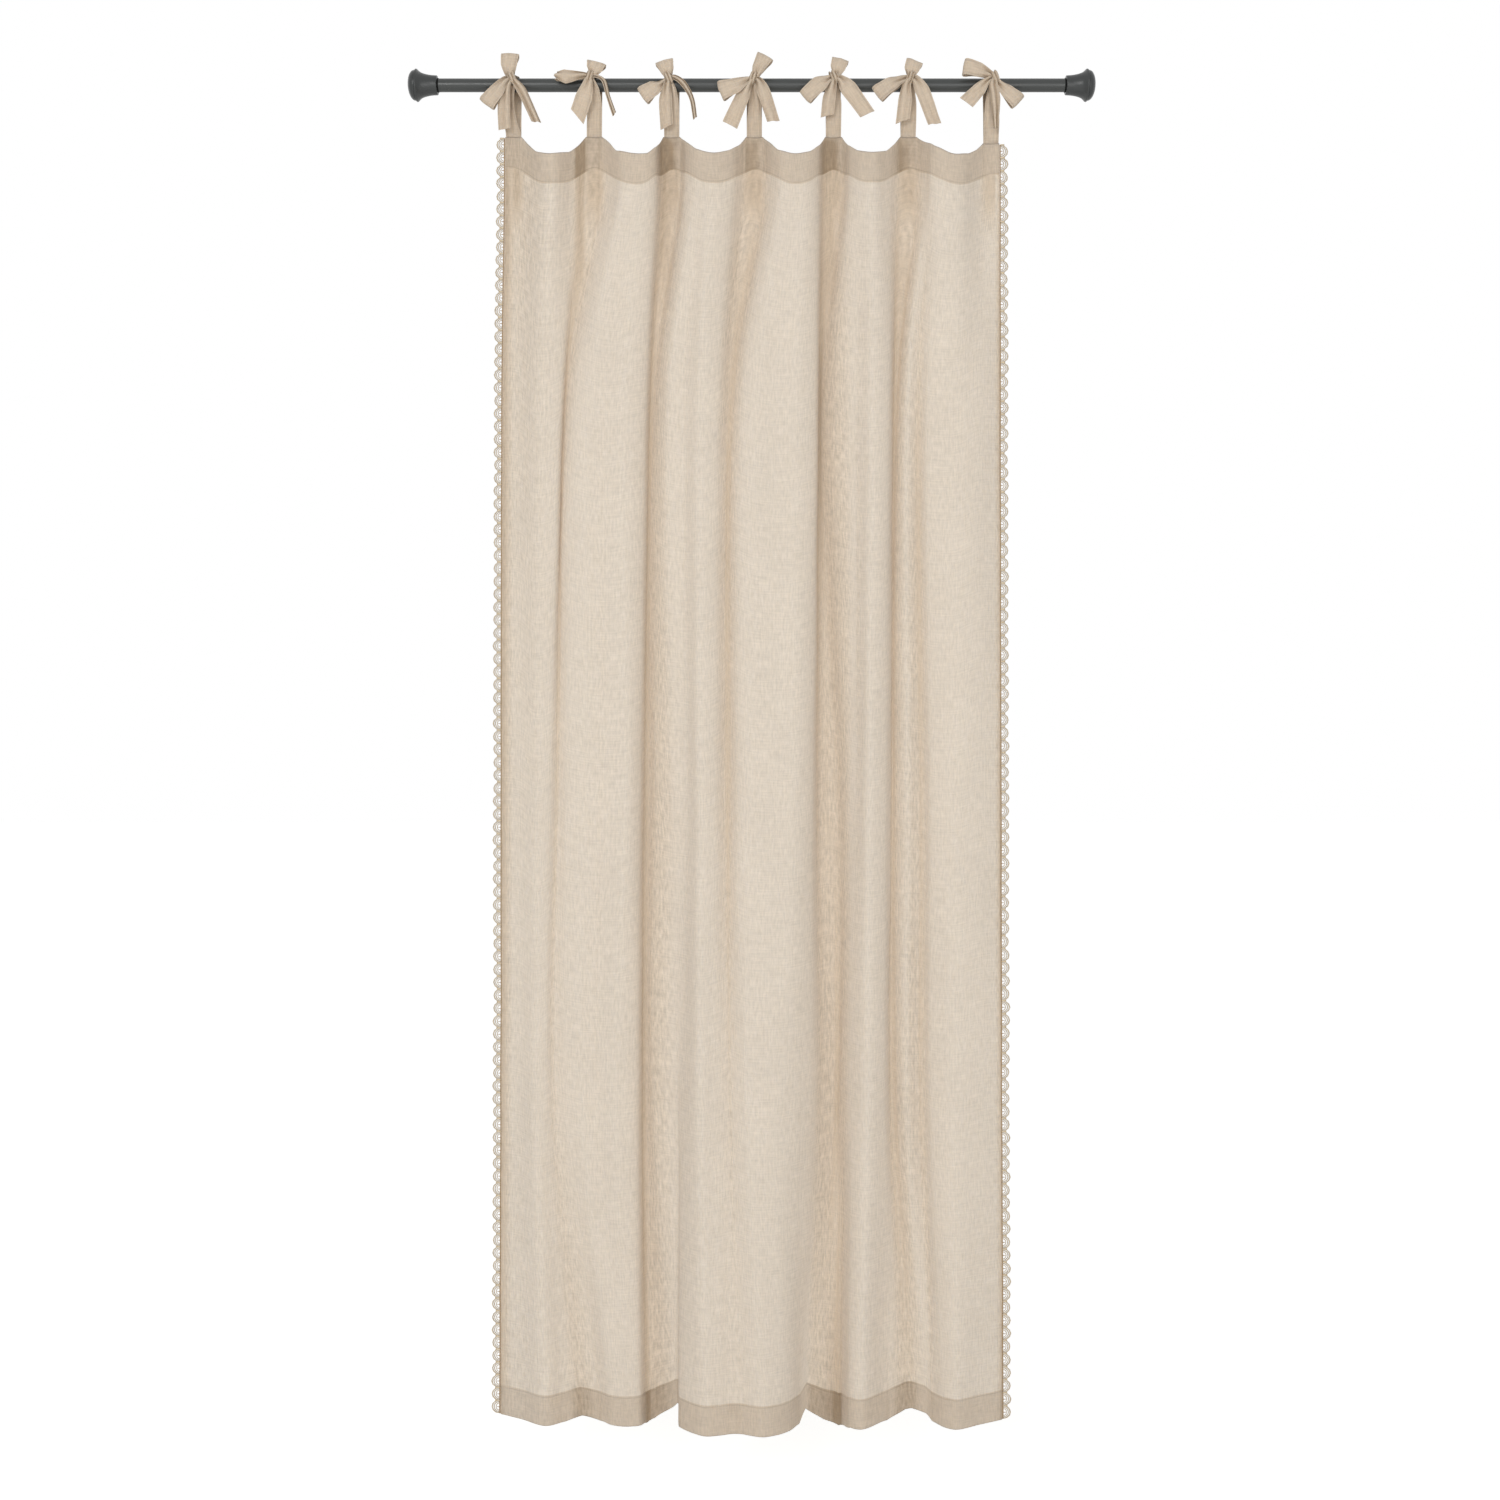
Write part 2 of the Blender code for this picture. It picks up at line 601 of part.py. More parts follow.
def build():
    clear_scene()
    curtain = collection("curtain")
    helpers = collection("cutters")
    looks = {
        "cloth": material("linen", LINEN, 0.9),
        "tie": material("linen_ribbon", RIBBON, 0.9),
        "lace": material("cream_lace", CREAM, 0.9),
        "tube": material("painted_steel", ANTHRACITE, 0.45, 0.6),
        "finial": material("moulded_finial", ANTHRACITE, 0.5),
        "end_cap": material("moulded_cap", ANTHRACITE, 0.55),
    }
    points = cloth_points()
    make_cloth(curtain, looks["cloth"], points)
    make_lace("lace_left", -1, curtain, looks["lace"], [line[0] for line in points])
    make_lace("lace_right", 1, curtain, looks["lace"], [line[-1] for line in points])
    for number in range(len(TIE_CENTRES)):
        make_tie(number, curtain, helpers, looks["tie"])
    make_rod(curtain, looks)


build()
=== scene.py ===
import math

import bmesh
import bpy
from mathutils import Matrix, Vector, noise


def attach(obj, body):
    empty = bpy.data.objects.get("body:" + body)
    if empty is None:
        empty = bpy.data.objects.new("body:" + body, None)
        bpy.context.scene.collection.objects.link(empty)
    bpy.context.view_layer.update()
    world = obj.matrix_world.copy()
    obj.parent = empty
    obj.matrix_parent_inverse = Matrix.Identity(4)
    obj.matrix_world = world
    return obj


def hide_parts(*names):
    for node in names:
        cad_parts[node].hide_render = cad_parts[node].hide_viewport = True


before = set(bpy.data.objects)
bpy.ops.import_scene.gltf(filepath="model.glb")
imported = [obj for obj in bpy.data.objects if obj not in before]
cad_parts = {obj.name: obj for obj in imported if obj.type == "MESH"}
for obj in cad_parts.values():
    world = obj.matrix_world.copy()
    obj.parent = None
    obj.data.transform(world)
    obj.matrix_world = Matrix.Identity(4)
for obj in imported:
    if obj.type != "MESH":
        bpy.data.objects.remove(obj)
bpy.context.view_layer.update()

# Linen tie-top curtain, tied with seven bows to its rod, with a crocheted border down both sides.
# The origin is on the rod's axis at its middle, +X to the right, +Z up, the room on the -Y side.
# Forward, in the names below, is the distance towards the room, along -Y.

MM = 0.001

# Rod and its ends
ROD_RADIUS = 0.0120
ROD_WALL = 0.0012
ROD_SHOWN = 1.1620
SOCKET_DEPTH = 0.0310

# Cloth
STRAP_DROP = 0.0960
CURTAIN_DROP = 2.4565
CLOTH_THICKNESS = 0.0006
LAYER_GAP = 0.0011
HEADER_HEIGHT = 0.0570
HEM_HEIGHT = 0.0550
SIDE_HEM = 0.0120
HEADER_SAG = 0.0450
CELL_WIDTH = 0.0062
CELL_HEIGHT = 0.0150
# The folds' shading and the flat width are worked out at this many steps down the cloth.
SECTIONS = 8
# How much sooner the folds take their shape below the header than the fold table says.
EARLY_FOLDS = 3.8
STITCH_INSET = 0.0030
SEAM_STEP = 0.0008

# Ties
TIE_WIDTH = 0.0280
TIE_THICKNESS = 0.0011
TIE_CENTRES = (-0.4410, -0.2915, -0.1480, 0.0050, 0.1515, 0.2900, 0.4435)
TAB_LOWER = (0.0, 0.0, 0.0, 0.0, 0.0, 0.0, 0.0120)
TAB_MARGIN = 0.0010
TIE_FOOT_INSET = 0.0040
KNOT_FORWARD = 0.0205
KNOT_SIZE = (0.0085, 0.0062, 0.0078)
LOOP_OPENING = 0.0110
LOOP_NOSE = 0.0035
KNOT_ENTRY = 0.0080
KNOT_LAYER_STEP = 0.0009
WRAP_GAP = 0.0012
WRAP_RISE = 0.0010
WRAP_HALF_WIDTH = 0.0056
WRAP_STEPS = 12
WRAP_TILTS = (-0.45, 0.35)
LEG_AT_KNOT = 0.0110
ROD_GAP = 0.0006
SEAT_GAP = 0.0018
# The back leg where it goes over the rod: degrees, 180 behind it and 90 on top, and its width.
OVER_ROD = ((180, 0.028), (150, 0.027), (120, 0.025), (90, 0.022), (62, 0.018))
RIBBON_STEP = 0.0028
RIBBON_CELLS = 10
RIBBON_RIPPLE = 0.0011
PLEAT_DEPTH = 0.6
CUT_LENGTH = 0.0300

# Lace
LACE_PITCH = 0.0239
LACE_CLEARANCE = 0.0003
# The bows of each scallop: how far out, its share of the pitch, and its cord's radius.
LACE_BOWS = ((0.0136, 0.98, 0.0012), (0.0102, 0.78, 0.0010), (0.0066, 0.56, 0.0009))
BOW_START = 0.0012
# Its other parts, with their middle's distance out first. Then the stub has its length and two
# radii, the picot its size out, down and through, and the heading its width and thickness.
STUB = (0.0036, 0.0050, 0.0010, 0.0006)
PICOT = (0.0055, 0.0075, 0.0020, 0.0014)
# How far the picots face the room, which sets their share of the cord's painted brown shade.
PICOT_FORE = 0.4
HEADING = (0.0010, 0.0020, 0.0012)
UNEVEN_REACH = 0.10
UNEVEN_LIFT = 0.25

# Camera, floor and light. The studio's light has its strength on things first, then as it is seen.
CAMERA_PLACE = (-0.003, -3.2, -1.2297)
FOCAL_LENGTH = 41.51
FLOOR_HALF_SIZE = 30.0
FLOOR_BELOW_HEM = 0.16
FLOOR_GLOW = 0.52
STUDIO_LIGHT = (0.55, 1.0)
LIGHT_AIM = (0, 0, -1.2)

# Fold table, read down the cloth at its header, one quarter, half, three quarters and hem.
# Each fold line: its places across in mm from the rod's middle, then how far forward in mm.
FOLDS = (
    ("tab_1_left", (-458, -459, -459, -460, -464), (0, 14, 20, 18, 5)),
    ("tab_1_right", (-425, -425, -424, -424, -421), (0, 26, 34, 34, 30)),
    ("gap_1", (-364, -384, -389, -392, -373), (44, 50, 52, 54, 62)),
    ("fall_2", (-328, -350, -369, -373, -339), (10, 42, 47, 48, 40)),
    ("tab_2_left", (-305, -344, -358, -363, -311), (0, 25, 36, 40, 30)),
    ("tab_2_right", (-277, -339, -350, -354, -296), (0, 28, 38, 40, 34)),
    ("rise_2", (-255, -321, -337, -333, -277), (22, 42, 46, 48, 36)),
    ("gap_2", (-237, -298, -305, -308, -256), (42, 52, 54, 56, 56)),
    ("gap_2_dip", (-215, -267, -274, -280, -235), (46, 49, 50, 52, 64)),
    ("gap_2_brow", (-191, -230, -226, -246, -215), (44, 57, 60, 62, 64)),
    ("gap_2_lip", (-177, -195, -206, -210, -203), (34, 38, 42, 48, 60)),
    ("tab_3_left", (-166, -187, -197, -201, -192), (0, 13, 13, 16, 26)),
    ("tab_3_right", (-131, -182, -191, -194, -177), (0, 14, 12, 16, 28)),
    ("rise_3", (-121, -168, -177, -179, -136), (20, 28, 24, 28, 50)),
    ("panel_under", (-104, -151, -149, -136, -131), (38, 42, 38, 47, 52)),
    ("panel_left", (-92, -123, -119, -128, -132), (44, 44, 54, 57, 64)),
    ("gap_3", (-72, -94, -93, -94, -85), (50, 64, 80, 98, 110)),
    ("fall_4", (-38, -63, -68, -68, -57), (34, 54, 72, 92, 106)),
    ("tab_4_left", (-10, -43, -48, -44, -37), (0, 34, 54, 84, 99)),
    ("tab_4_right", (21, -38, -41, -37, -19), (0, 33, 53, 83, 99)),
    ("rise_4", (39, -18, -23, -21, 1), (26, 54, 71, 93, 108)),
    ("gap_4", (55, 4, -5, -7, 20), (44, 64, 79, 101, 114)),
    ("gap_4_dip", (77, 48, 49, 42, 47), (46, 60, 74, 94, 104)),
    ("gap_4_brow", (101, 86, 82, 69, 69), (42, 62, 70, 80, 84)),
    ("panel_right", (120, 117, 110, 104, 87), (28, 42, 44, 50, 52)),
    ("tab_5_left", (136, 125, 124, 128, 99), (0, -2, 4, 20, 42)),
    ("tab_5_right", (167, 130, 156, 158, 132), (0, 0, 0, 2, 30)),
    ("rise_5", (182, 155, 173, 166, 159), (26, 22, 20, 16, 16)),
    ("gap_5_rise", (200, 194, 192, 185, 178), (42, 40, 40, 50, 70)),
    ("gap_5", (223, 220, 213, 209, 199), (48, 58, 62, 68, 79)),
    ("fall_6", (250, 249, 243, 241, 248), (26, 44, 44, 46, 34)),
    ("tab_6_left", (276, 262, 259, 256, 282), (0, 15, 14, 20, 24)),
    ("tab_6_right", (304, 266, 262, 262, 294), (0, 16, 16, 20, 24)),
    ("ridge", (321, 284, 284, 284, 319), (20, 36, 34, 38, 34)),
    ("second_valley", (330, 307, 315, 314, 329), (34, 28, 23, 26, 44)),
    ("rise_7", (351, 322, 328, 327, 348), (44, 42, 40, 44, 68)),
    ("gap_6", (385, 370, 369, 365, 369), (36, 54, 58, 64, 80)),
    ("tab_7_left", (428, 413, 412, 412, 415), (0, 44, 50, 54, 56)),
    ("tab_7_right", (459, 456, 456, 457, 459), (0, 22, 28, 32, 32)),
)

# How far the header's edge has sagged at these shares of each gap between two ties, as shares of
# HEADER_SAG.
SAG_PLACES = (0.0, 0.1, 0.25, 0.5, 0.75, 0.9, 1.0)
SAGS = (
    (0.0, 0.34, 0.78, 1.00, 0.76, 0.36, 0.0),
    (0.0, 0.26, 0.80, 1.00, 1.00, 0.62, 0.0),
    (0.0, 0.36, 0.78, 1.02, 0.82, 0.44, 0.0),
    (0.0, 0.32, 0.84, 1.02, 0.88, 0.50, 0.0),
    (0.0, 0.48, 0.84, 0.98, 0.78, 0.36, 0.0),
    (0.0, 0.28, 0.60, 0.86, 0.68, 0.34, 0.0),
)

# How far the hem is drawn up where it folds in, or let down where it is below zero, in mm at its
# fold lines. The lift goes with a power of the way down: it is half gone 0.11 m above the hem.
HEM_LIFTS = {
    "tab_2_left": 7, "tab_2_right": 6, "tab_3_left": -8, "tab_3_right": 2, "rise_3": 37,
    "panel_under": 37, "tab_5_left": 24, "rise_5": -17, "tab_6_left": 16, "tab_6_right": 18,
    "ridge": 12, "second_valley": 2,
}
HEM_LIFT_POWER = 14

# The cloth's tone is counted in layers: tones are added to the layers that really lie there, and
# in its folds, pockets and under the ties they are painted shade. Pairs of distances say where a
# tone starts to change and where it has changed, in metres.
# The header counts as this many layers where a tie's foot is stitched behind it.
TAB_LAYERS = 2.15
# Where the side hems are turned in, column by column from the side edges inwards. Only a share of
# it is added where the header and the hem are double already.
LEFT_EDGE_TONES = (1.1, 1.0, 0.9, 0.8, 0.5)
RIGHT_EDGE_TONES = (1.2, 0.5, 0.1)
EDGE_TONE_ON_HEMS = 0.25
# The left edge is darker than the rest down to this share of the way to the hem, then lighter.
LEFT_SIDE_STRENGTH = 0.33
LEFT_SIDE_REACH = (0.34, 0.42)
LEFT_SIDE_TURN = 0.6
# Painted shade where the cloth lies folded in, at the header and from the second share of the way
# down on.
FOLD_SHADES = (0.20, 0.55)
FOLD_TONE_RISE = (0.0, 0.08)
FOLD_REACH = 0.070
FOLD_DEPTHS = (0.004, 0.036)
CREASE_SHADE = 1.1
CREASE_REACH = 0.006
CREASE_DEPTHS = (0.0008, 0.0038)
# Painted shade where the cloth is tucked in beside a tie's foot: (across, half width) in mm, and
# its tone.
POCKET_SHADES = ((-430, 60, 0.16), (-317, 14, 1.25), (-158, 20, 1.05), (0, 17, 0.45), (143, 22, 1.05),
           (279, 19, 0.45))
POCKET_RISE = (-0.010, 0.020)
POCKET_FADE = (0.080, 0.360)
# Painted shade where the cloth is drawn together below a tie.
UNDER_TIE_SHADE = 1.05
UNDER_TIE_FADE = (0.040, 0.150)
# The ties' painted shade: on their legs behind the rod, and in the hollows of their pleats.
BEHIND_SHADE = 0.35
BEHIND_DEPTHS = (0.006, 0.016)
GATHERED_SHADE = 1.1

# Bows, one row for each tie: the knot's place, then each leg, loop or tail from the knot outwards.
# A place is (across from the tie's centre, height over the rod's axis, forward, ribbon width), in
# mm. The front leg's places are those between the knot and the header. The cut says how slanting
# the ends of the front tail and the side tail are.
BOWS = (
    {"knot": (0, 6),
     "front_leg": ((-4, -14, 17, 18), (-7, -40, 12, 20), (-5, -66, 6, 24)),
     "top_loop": ((-3, 12, 22, 18), (-4, 28, 28, 30), (-3, 46, 25, 32)),
     "side_loop": ((-10, 1, 24, 15), (-27, -23, 32, 27), (-43, -43, 34, 31)),
     "front_tail": ((-8, -7, 25, 13), (-14, -44, 24, 22), (-14, -86, 14, 22)),
     "side_tail": ((4, 1, 24, 11), (18, -18, 24, 17), (45, -75, 20, 15)),
     "cut": (2, -4)},
    {"knot": (-6, 9),
     "front_leg": ((0, -14, 17, 22), (2, -40, 11, 26), (1, -70, 5, 28)),
     "top_loop": ((-1, 14, 22, 18), (3, 21, 27, 30), (6, 31, 25, 35)),
     "side_loop": ((-16, 10, 24, 11), (-50, 3, 35, 26), (-64, 6, 34, 14)),
     "front_tail": ((-8, -3, 25, 17), (-17, -33, 26, 31), (-29, -66, 22, 31)),
     "side_tail": ((6, 9, 22, 7), (19, 1, 24, 8), (28, -28, 22, 7), (39, -60, 18, 8)),
     "cut": (-9, 3)},
    {"knot": (-5, 6),
     "front_leg": ((-1, -14, 17, 20), (0, -40, 11, 27), (0, -70, 5, 28)),
     "top_loop": ((-6, 12, 22, 18), (-8, 20, 27, 26), (-12, 34, 25, 33)),
     "side_loop": ((-17, -5, 24, 13), (-31, -17, 32, 28), (-49, -29, 34, 33)),
     "front_tail": ((-7, -7, 25, 13), (-10, -36, 22, 24), (-8, -82, 14, 24)),
     "side_tail": ((5, 7, 22, 9), (20, -3, 24, 11), (37, -30, 22, 8), (44, -67, 18, 7)),
     "cut": (5, 2)},
    {"knot": (-2, 6),
     "front_leg": ((0, -14, 17, 16), (1, -40, 11, 23), (0, -70, 5, 27)),
     "top_loop": ((3, 12, 22, 15), (7, 21, 27, 22), (19, 43, 25, 31)),
     "side_loop": ((-14, 1, 24, 15), (-34, -12, 32, 28), (-59, -21, 34, 35)),
     "front_tail": ((-10, -6, 25, 13), (-23, -33, 26, 26), (-45, -82, 24, 30)),
     "side_tail": ((7, 1, 23, 13), (16, -19, 26, 24), (35, -75, 24, 22)),
     "cut": (-1, -3)},
    {"knot": (0, 8),
     "front_leg": ((1, -14, 17, 18), (1, -40, 11, 26), (0, -70, 5, 28)),
     "top_loop": ((4, 14, 22, 18), (7, 23, 27, 28), (11, 37, 25, 31)),
     "side_loop": ((-9, 4, 24, 13), (-28, -10, 32, 30), (-51, -31, 34, 28)),
     "front_tail": ((-3, -7, 25, 15), (-9, -33, 24, 24), (-12, -63, 18, 24)),
     "side_tail": ((11, 3, 23, 15), (26, -15, 26, 31), (61, -63, 26, 28)),
     "cut": (4, -3)},
    {"knot": (2, 8),
     "front_leg": ((1, -14, 17, 18), (1, -40, 11, 25), (0, -70, 5, 28)),
     "top_loop": ((3, 12, 22, 18), (4, 20, 27, 28), (9, 34, 25, 31)),
     "side_loop": ((-16, 1, 24, 15), (-35, -10, 32, 26), (-57, -26, 34, 31)),
     "front_tail": ((-5, -7, 25, 15), (-8, -36, 24, 25), (-12, -73, 18, 25)),
     "side_tail": ((10, 3, 23, 15), (23, -19, 26, 26), (46, -81, 26, 23)),
     "cut": (6, -3)},
    {"knot": (3, 7),
     "front_leg": ((1, -14, 17, 20), (0, -40, 11, 26), (0, -72, 5, 28)),
     "top_loop": ((-7, 12, 24, 13), (-27, 17, 32, 26), (-51, 22, 34, 30)),
     "side_loop": ((11, -5, 24, 13), (25, -22, 30, 26), (43, -39, 32, 30)),
     "front_tail": ((0, -8, 27, 15), (4, -33, 26, 17), (6, -87, 22, 8)),
     "side_tail": ((-9, 1, 24, 11), (-26, -18, 28, 24), (-50, -43, 30, 29)),
     "cut": (0, 2)},
)


# ---- Materials ----

def from_hex(code):
    """A linear colour from an sRGB hex value."""
    parts = [int(code[at:at + 2], 16) / 255 for at in (0, 2, 4)]
    return (*[p / 12.92 if p <= 0.04045 else ((p + 0.055) / 1.055) ** 2.4 for p in parts], 1.0)


def add_node(look, kind, values=(), links=(), **settings):
    """Add a node with its settings, its sockets' own values and the outputs that feed them."""
    made = look.node_tree.nodes.new(kind)
    for key, value in settings.items():
        setattr(made, key, value)
    for socket, value in dict(values).items():
        made.inputs[socket].default_value = value
    for socket, source in dict(links).items():
        look.node_tree.links.new(source, made.inputs[socket])
    return made


def new_look(name, colour, roughness, **sockets):
    """A material and its Principled shader, with the sockets that are the same all over."""
    look = bpy.data.materials.new(name)
    look.use_nodes = True
    shader = look.node_tree.nodes["Principled BSDF"]
    shader.inputs["Base Color"].default_value = from_hex(colour)
    shader.inputs["Roughness"].default_value = roughness
    for socket, value in sockets.items():
        shader.inputs[socket.replace("_", " ")].default_value = value
    return look, shader


def feed(look, source, socket):
    look.node_tree.links.new(source, socket)


def spread(look, source, start, end, low=0.0, high=1.0):
    """Map start to end onto low to high, and hold it there beyond."""
    limits = {1: start, 2: end, 3: low, 4: high}
    return add_node(look, "ShaderNodeMapRange", limits, {0: source}).outputs[0]


def blend(look, share, first, second):
    """A colour from first to second, each of them a hex value or an output."""
    fixed = {socket: from_hex(colour) for socket, colour in ((6, first), (7, second))
             if isinstance(colour, str)}
    fed = {socket: colour for socket, colour in ((6, first), (7, second)) if socket not in fixed}
    return add_node(look, "ShaderNodeMix", fixed, {0: share, **fed}, data_type="RGBA").outputs[2]


def dim(look, colour, strength):
    links = {0: colour, "Scale": strength}
    return add_node(look, "ShaderNodeVectorMath", (), links, operation="SCALE").outputs[0]


def maths(look, operation, values=(), links=()):
    return add_node(look, "ShaderNodeMath", values, links, operation=operation).outputs[0]


def roughen(look, shader, height, strength, distance):
    """Let the light see a fine relief, distance metres deep."""
    bump = add_node(look, "ShaderNodeBump", {"Strength": strength, "Distance": distance},
                    {"Height": height})
    feed(look, bump.outputs[0], shader.inputs["Normal"])


def cloth_noise(look, flat, across, down, detail, roughness=0.5):
    """Noise on the flat cloth, with this many spots to a metre across and down it."""
    size = add_node(look, "ShaderNodeMapping", {"Scale": (across, down, 1)}, {0: flat})
    values = {"Scale": 1.0, "Detail": detail, "Roughness": roughness}
    return add_node(look, "ShaderNodeTexNoise", values, {0: size.outputs[0]},
                    noise_dimensions="2D").outputs[0]


def seen_itself(look):
    """1 for what the camera sees, straight, mirrored or through glass, 0 for light on things."""
    seen = add_node(look, "ShaderNodeLightPath").outputs
    direct = maths(look, "MAXIMUM", (), {0: seen["Is Camera Ray"], 1: seen["Is Glossy Ray"]})
    return maths(look, "MAXIMUM", (), {0: direct, 1: seen["Is Transmission Ray"]})


def woven_linen(name, single, double, treble):
    """Plain-woven washed linen: uneven threads give it light and dark slubs, more down than across.
    Where it lies double or treble less light comes through, so it looks darker and browner, and the
    same darker colours are painted as shade where it is folded in, tucked in beside the ties' feet,
    drawn together below them, and on the ties behind the rod and in their pleats. Layers is a whole
    number where the cloth lies flat. Where shade is painted on it, it lies between two, and there
    its threads show more and it puckers.
    Slubs are about 3 mm wide and 18 mm long down the cloth or 33 mm across it. The single threads,
    0.9 mm apart in the real cloth, are drawn 2 mm apart, or they wouldn't show from where the
    camera stands."""
    look, shader = new_look(name, single, 0.92, Sheen_Weight=0.12, Specular_IOR_Level=0.25,
                            Subsurface_Weight=0.15, Subsurface_Radius=(0.004, 0.003, 0.002),
                            Subsurface_Scale=1.0)
    flat = add_node(look, "ShaderNodeUVMap", uv_map="cloth").outputs[0]
    layers = add_node(look, "ShaderNodeAttribute", attribute_name="layers").outputs["Fac"]
    seam = add_node(look, "ShaderNodeAttribute", attribute_name="seam").outputs["Fac"]
    crush = maths(look, "PINGPONG", {1: 0.5}, {0: layers})

    warp = cloth_noise(look, flat, 330, 55, 2.0, 0.6)
    weft = cloth_noise(look, flat, 30, 400, 2.0, 0.6)
    weft_share = spread(look, crush, 0.0, 0.5, 0.40, 0.25)
    slubs = add_node(look, "ShaderNodeMix", (), {0: weft_share, 2: warp, 3: weft}).outputs[0]
    slubs = spread(look, slubs, 0.3, 0.7, -0.5, 0.5)

    cloth = blend(look, spread(look, layers, 1.0, 2.0), single, double)
    cloth = blend(look, spread(look, layers, 2.0, 3.0), cloth, treble)
    contrast = spread(look, crush, 0.0, 0.5, 0.22, 0.36)
    tone = maths(look, "MULTIPLY_ADD", {2: 0.98}, {0: slubs, 1: contrast})
    cloud = spread(look, cloth_noise(look, flat, 14, 7, 3.0), 0.3, 0.7, 0.985, 1.015)
    cloth = dim(look, cloth, maths(look, "MULTIPLY", (), {0: tone, 1: cloud}))
    cloth = dim(look, cloth, spread(look, seam, 0.0, 1.0, 1.0, 0.86))
    feed(look, cloth, shader.inputs["Base Color"])

    weave = cloth_noise(look, flat, 500, 500, 1.0)
    height = maths(look, "ADD", (), {0: slubs, 1: weave})
    height = maths(look, "MULTIPLY_ADD", {1: -2.0}, {0: seam, 2: height})
    pucker = cloth_noise(look, flat, 260, 110, 2.0)
    puckered = spread(look, crush, 0.0, 0.5, 0.6, 1.8)
    height = maths(look, "MULTIPLY_ADD", (), {0: pucker, 1: puckered, 2: height})
    roughen(look, shader, height, 0.5, 0.0004)
    return look


def crocheted_cotton():
    """Ecru cotton cord, crocheted: it is cream where it comes forward, and painted brown as shade
    where it turns away and in between its loops. Its twist gives slanting ribs about 2.4 mm apart."""
    look, shader = new_look("crocheted_cotton", "D6C5A5", 0.85, Sheen_Weight=0.1)
    place = add_node(look, "ShaderNodeTexCoord").outputs["Object"]
    twist = add_node(look, "ShaderNodeMapping", {"Rotation": (0.5, 0.6, 0.4)}, {0: place})
    ribs = add_node(look, "ShaderNodeTexWave", {"Scale": 130.0, "Distortion": 3.0, "Detail": 1.0},
                    {0: twist.outputs[0]}).outputs["Fac"]
    fore = add_node(look, "ShaderNodeAttribute", attribute_name="fore").outputs["Fac"]
    cord = blend(look, ribs, "EADAB9", "FAF0DA")
    # Painted shade: brown where the cord faces away from the room, cream where it faces it.
    cord = blend(look, spread(look, fore, -0.1, 0.8), "9C7B54", cord)
    feed(look, cord, shader.inputs["Base Color"])
    roughen(look, shader, ribs, 0.6, 0.0004)
    return look


def powder_coat(name, colour, roughness, grain):
    """A matt anthracite skin: its fine orange peel, grain mm across, breaks up the shine."""
    look, shader = new_look(name, colour, roughness, Specular_IOR_Level=0.4)
    place = add_node(look, "ShaderNodeTexCoord").outputs["Object"]
    peel, wear = (add_node(look, "ShaderNodeTexNoise", {"Scale": scale, "Detail": detail},
                           {0: place}).outputs[0]
                  for scale, detail in ((1.0 / (grain * MM), 2.0), (25.0, 4.0)))
    rough = spread(look, wear, 0.3, 0.7, roughness - 0.06, roughness + 0.06)
    feed(look, rough, shader.inputs["Roughness"])
    roughen(look, shader, peel, 0.25, 0.0003)
    return look


def matt_floor():
    """A pale painted floor, white to the camera and in reflections, that keeps shadows."""
    look, shader = new_look("matt_white_floor", "F2F2F0", 0.9, Specular_IOR_Level=0.1)
    glow = maths(look, "MULTIPLY", {1: FLOOR_GLOW}, {0: seen_itself(look)})
    shader.inputs["Emission Color"].default_value = (1, 1, 1, 1)
    feed(look, glow, shader.inputs["Emission Strength"])
    return look


# ---- Shapes ----

def mix(a, b, share):
    return a + (b - a) * share


def ease(share):
    share = min(1.0, max(0.0, share))
    return share * share * (3 - 2 * share)


def ramp(value, start, end):
    """0 up to start, 1 from end on, and an eased rise in between."""
    return ease((value - start) / (end - start))


def nearness(distance, reach):
    """1 close to a place and 0 beyond reach of it."""
    return ease(1.3 * (1 - distance / reach))


def smooth_level(values, share):
    """A smooth curve through equally spaced values, at share 0 to 1 of its length."""
    spans = len(values) - 1
    span = min(int(share * spans), spans - 1)
    t = share * spans - span
    before = values[max(span - 1, 0)]
    a, b = values[span], values[span + 1]
    after = values[min(span + 2, spans)]
    return 0.5 * (2 * a + (b - before) * t + (2 * before - 5 * a + 4 * b - after) * t * t
                  + (3 * a - before - 3 * b + after) * t ** 3)


def smooth_between(p0, p1, p2, p3, t):
    """The point at share t between p1 and p2, on a curve that keeps close to its points."""
    k1 = max((p1 - p0).length, 1e-6) ** 0.5
    k2 = k1 + max((p2 - p1).length, 1e-6) ** 0.5
    k3 = k2 + max((p3 - p2).length, 1e-6) ** 0.5
    k = mix(k1, k2, t)
    a1 = p0.lerp(p1, k / k1)
    a2 = p1.lerp(p2, (k - k1) / (k2 - k1))
    a3 = p2.lerp(p3, (k - k2) / (k3 - k2))
    b1 = a1.lerp(a2, k / k2)
    b2 = a2.lerp(a3, (k - k1) / (k3 - k1))
    return b1.lerp(b2, (k - k1) / (k2 - k1))


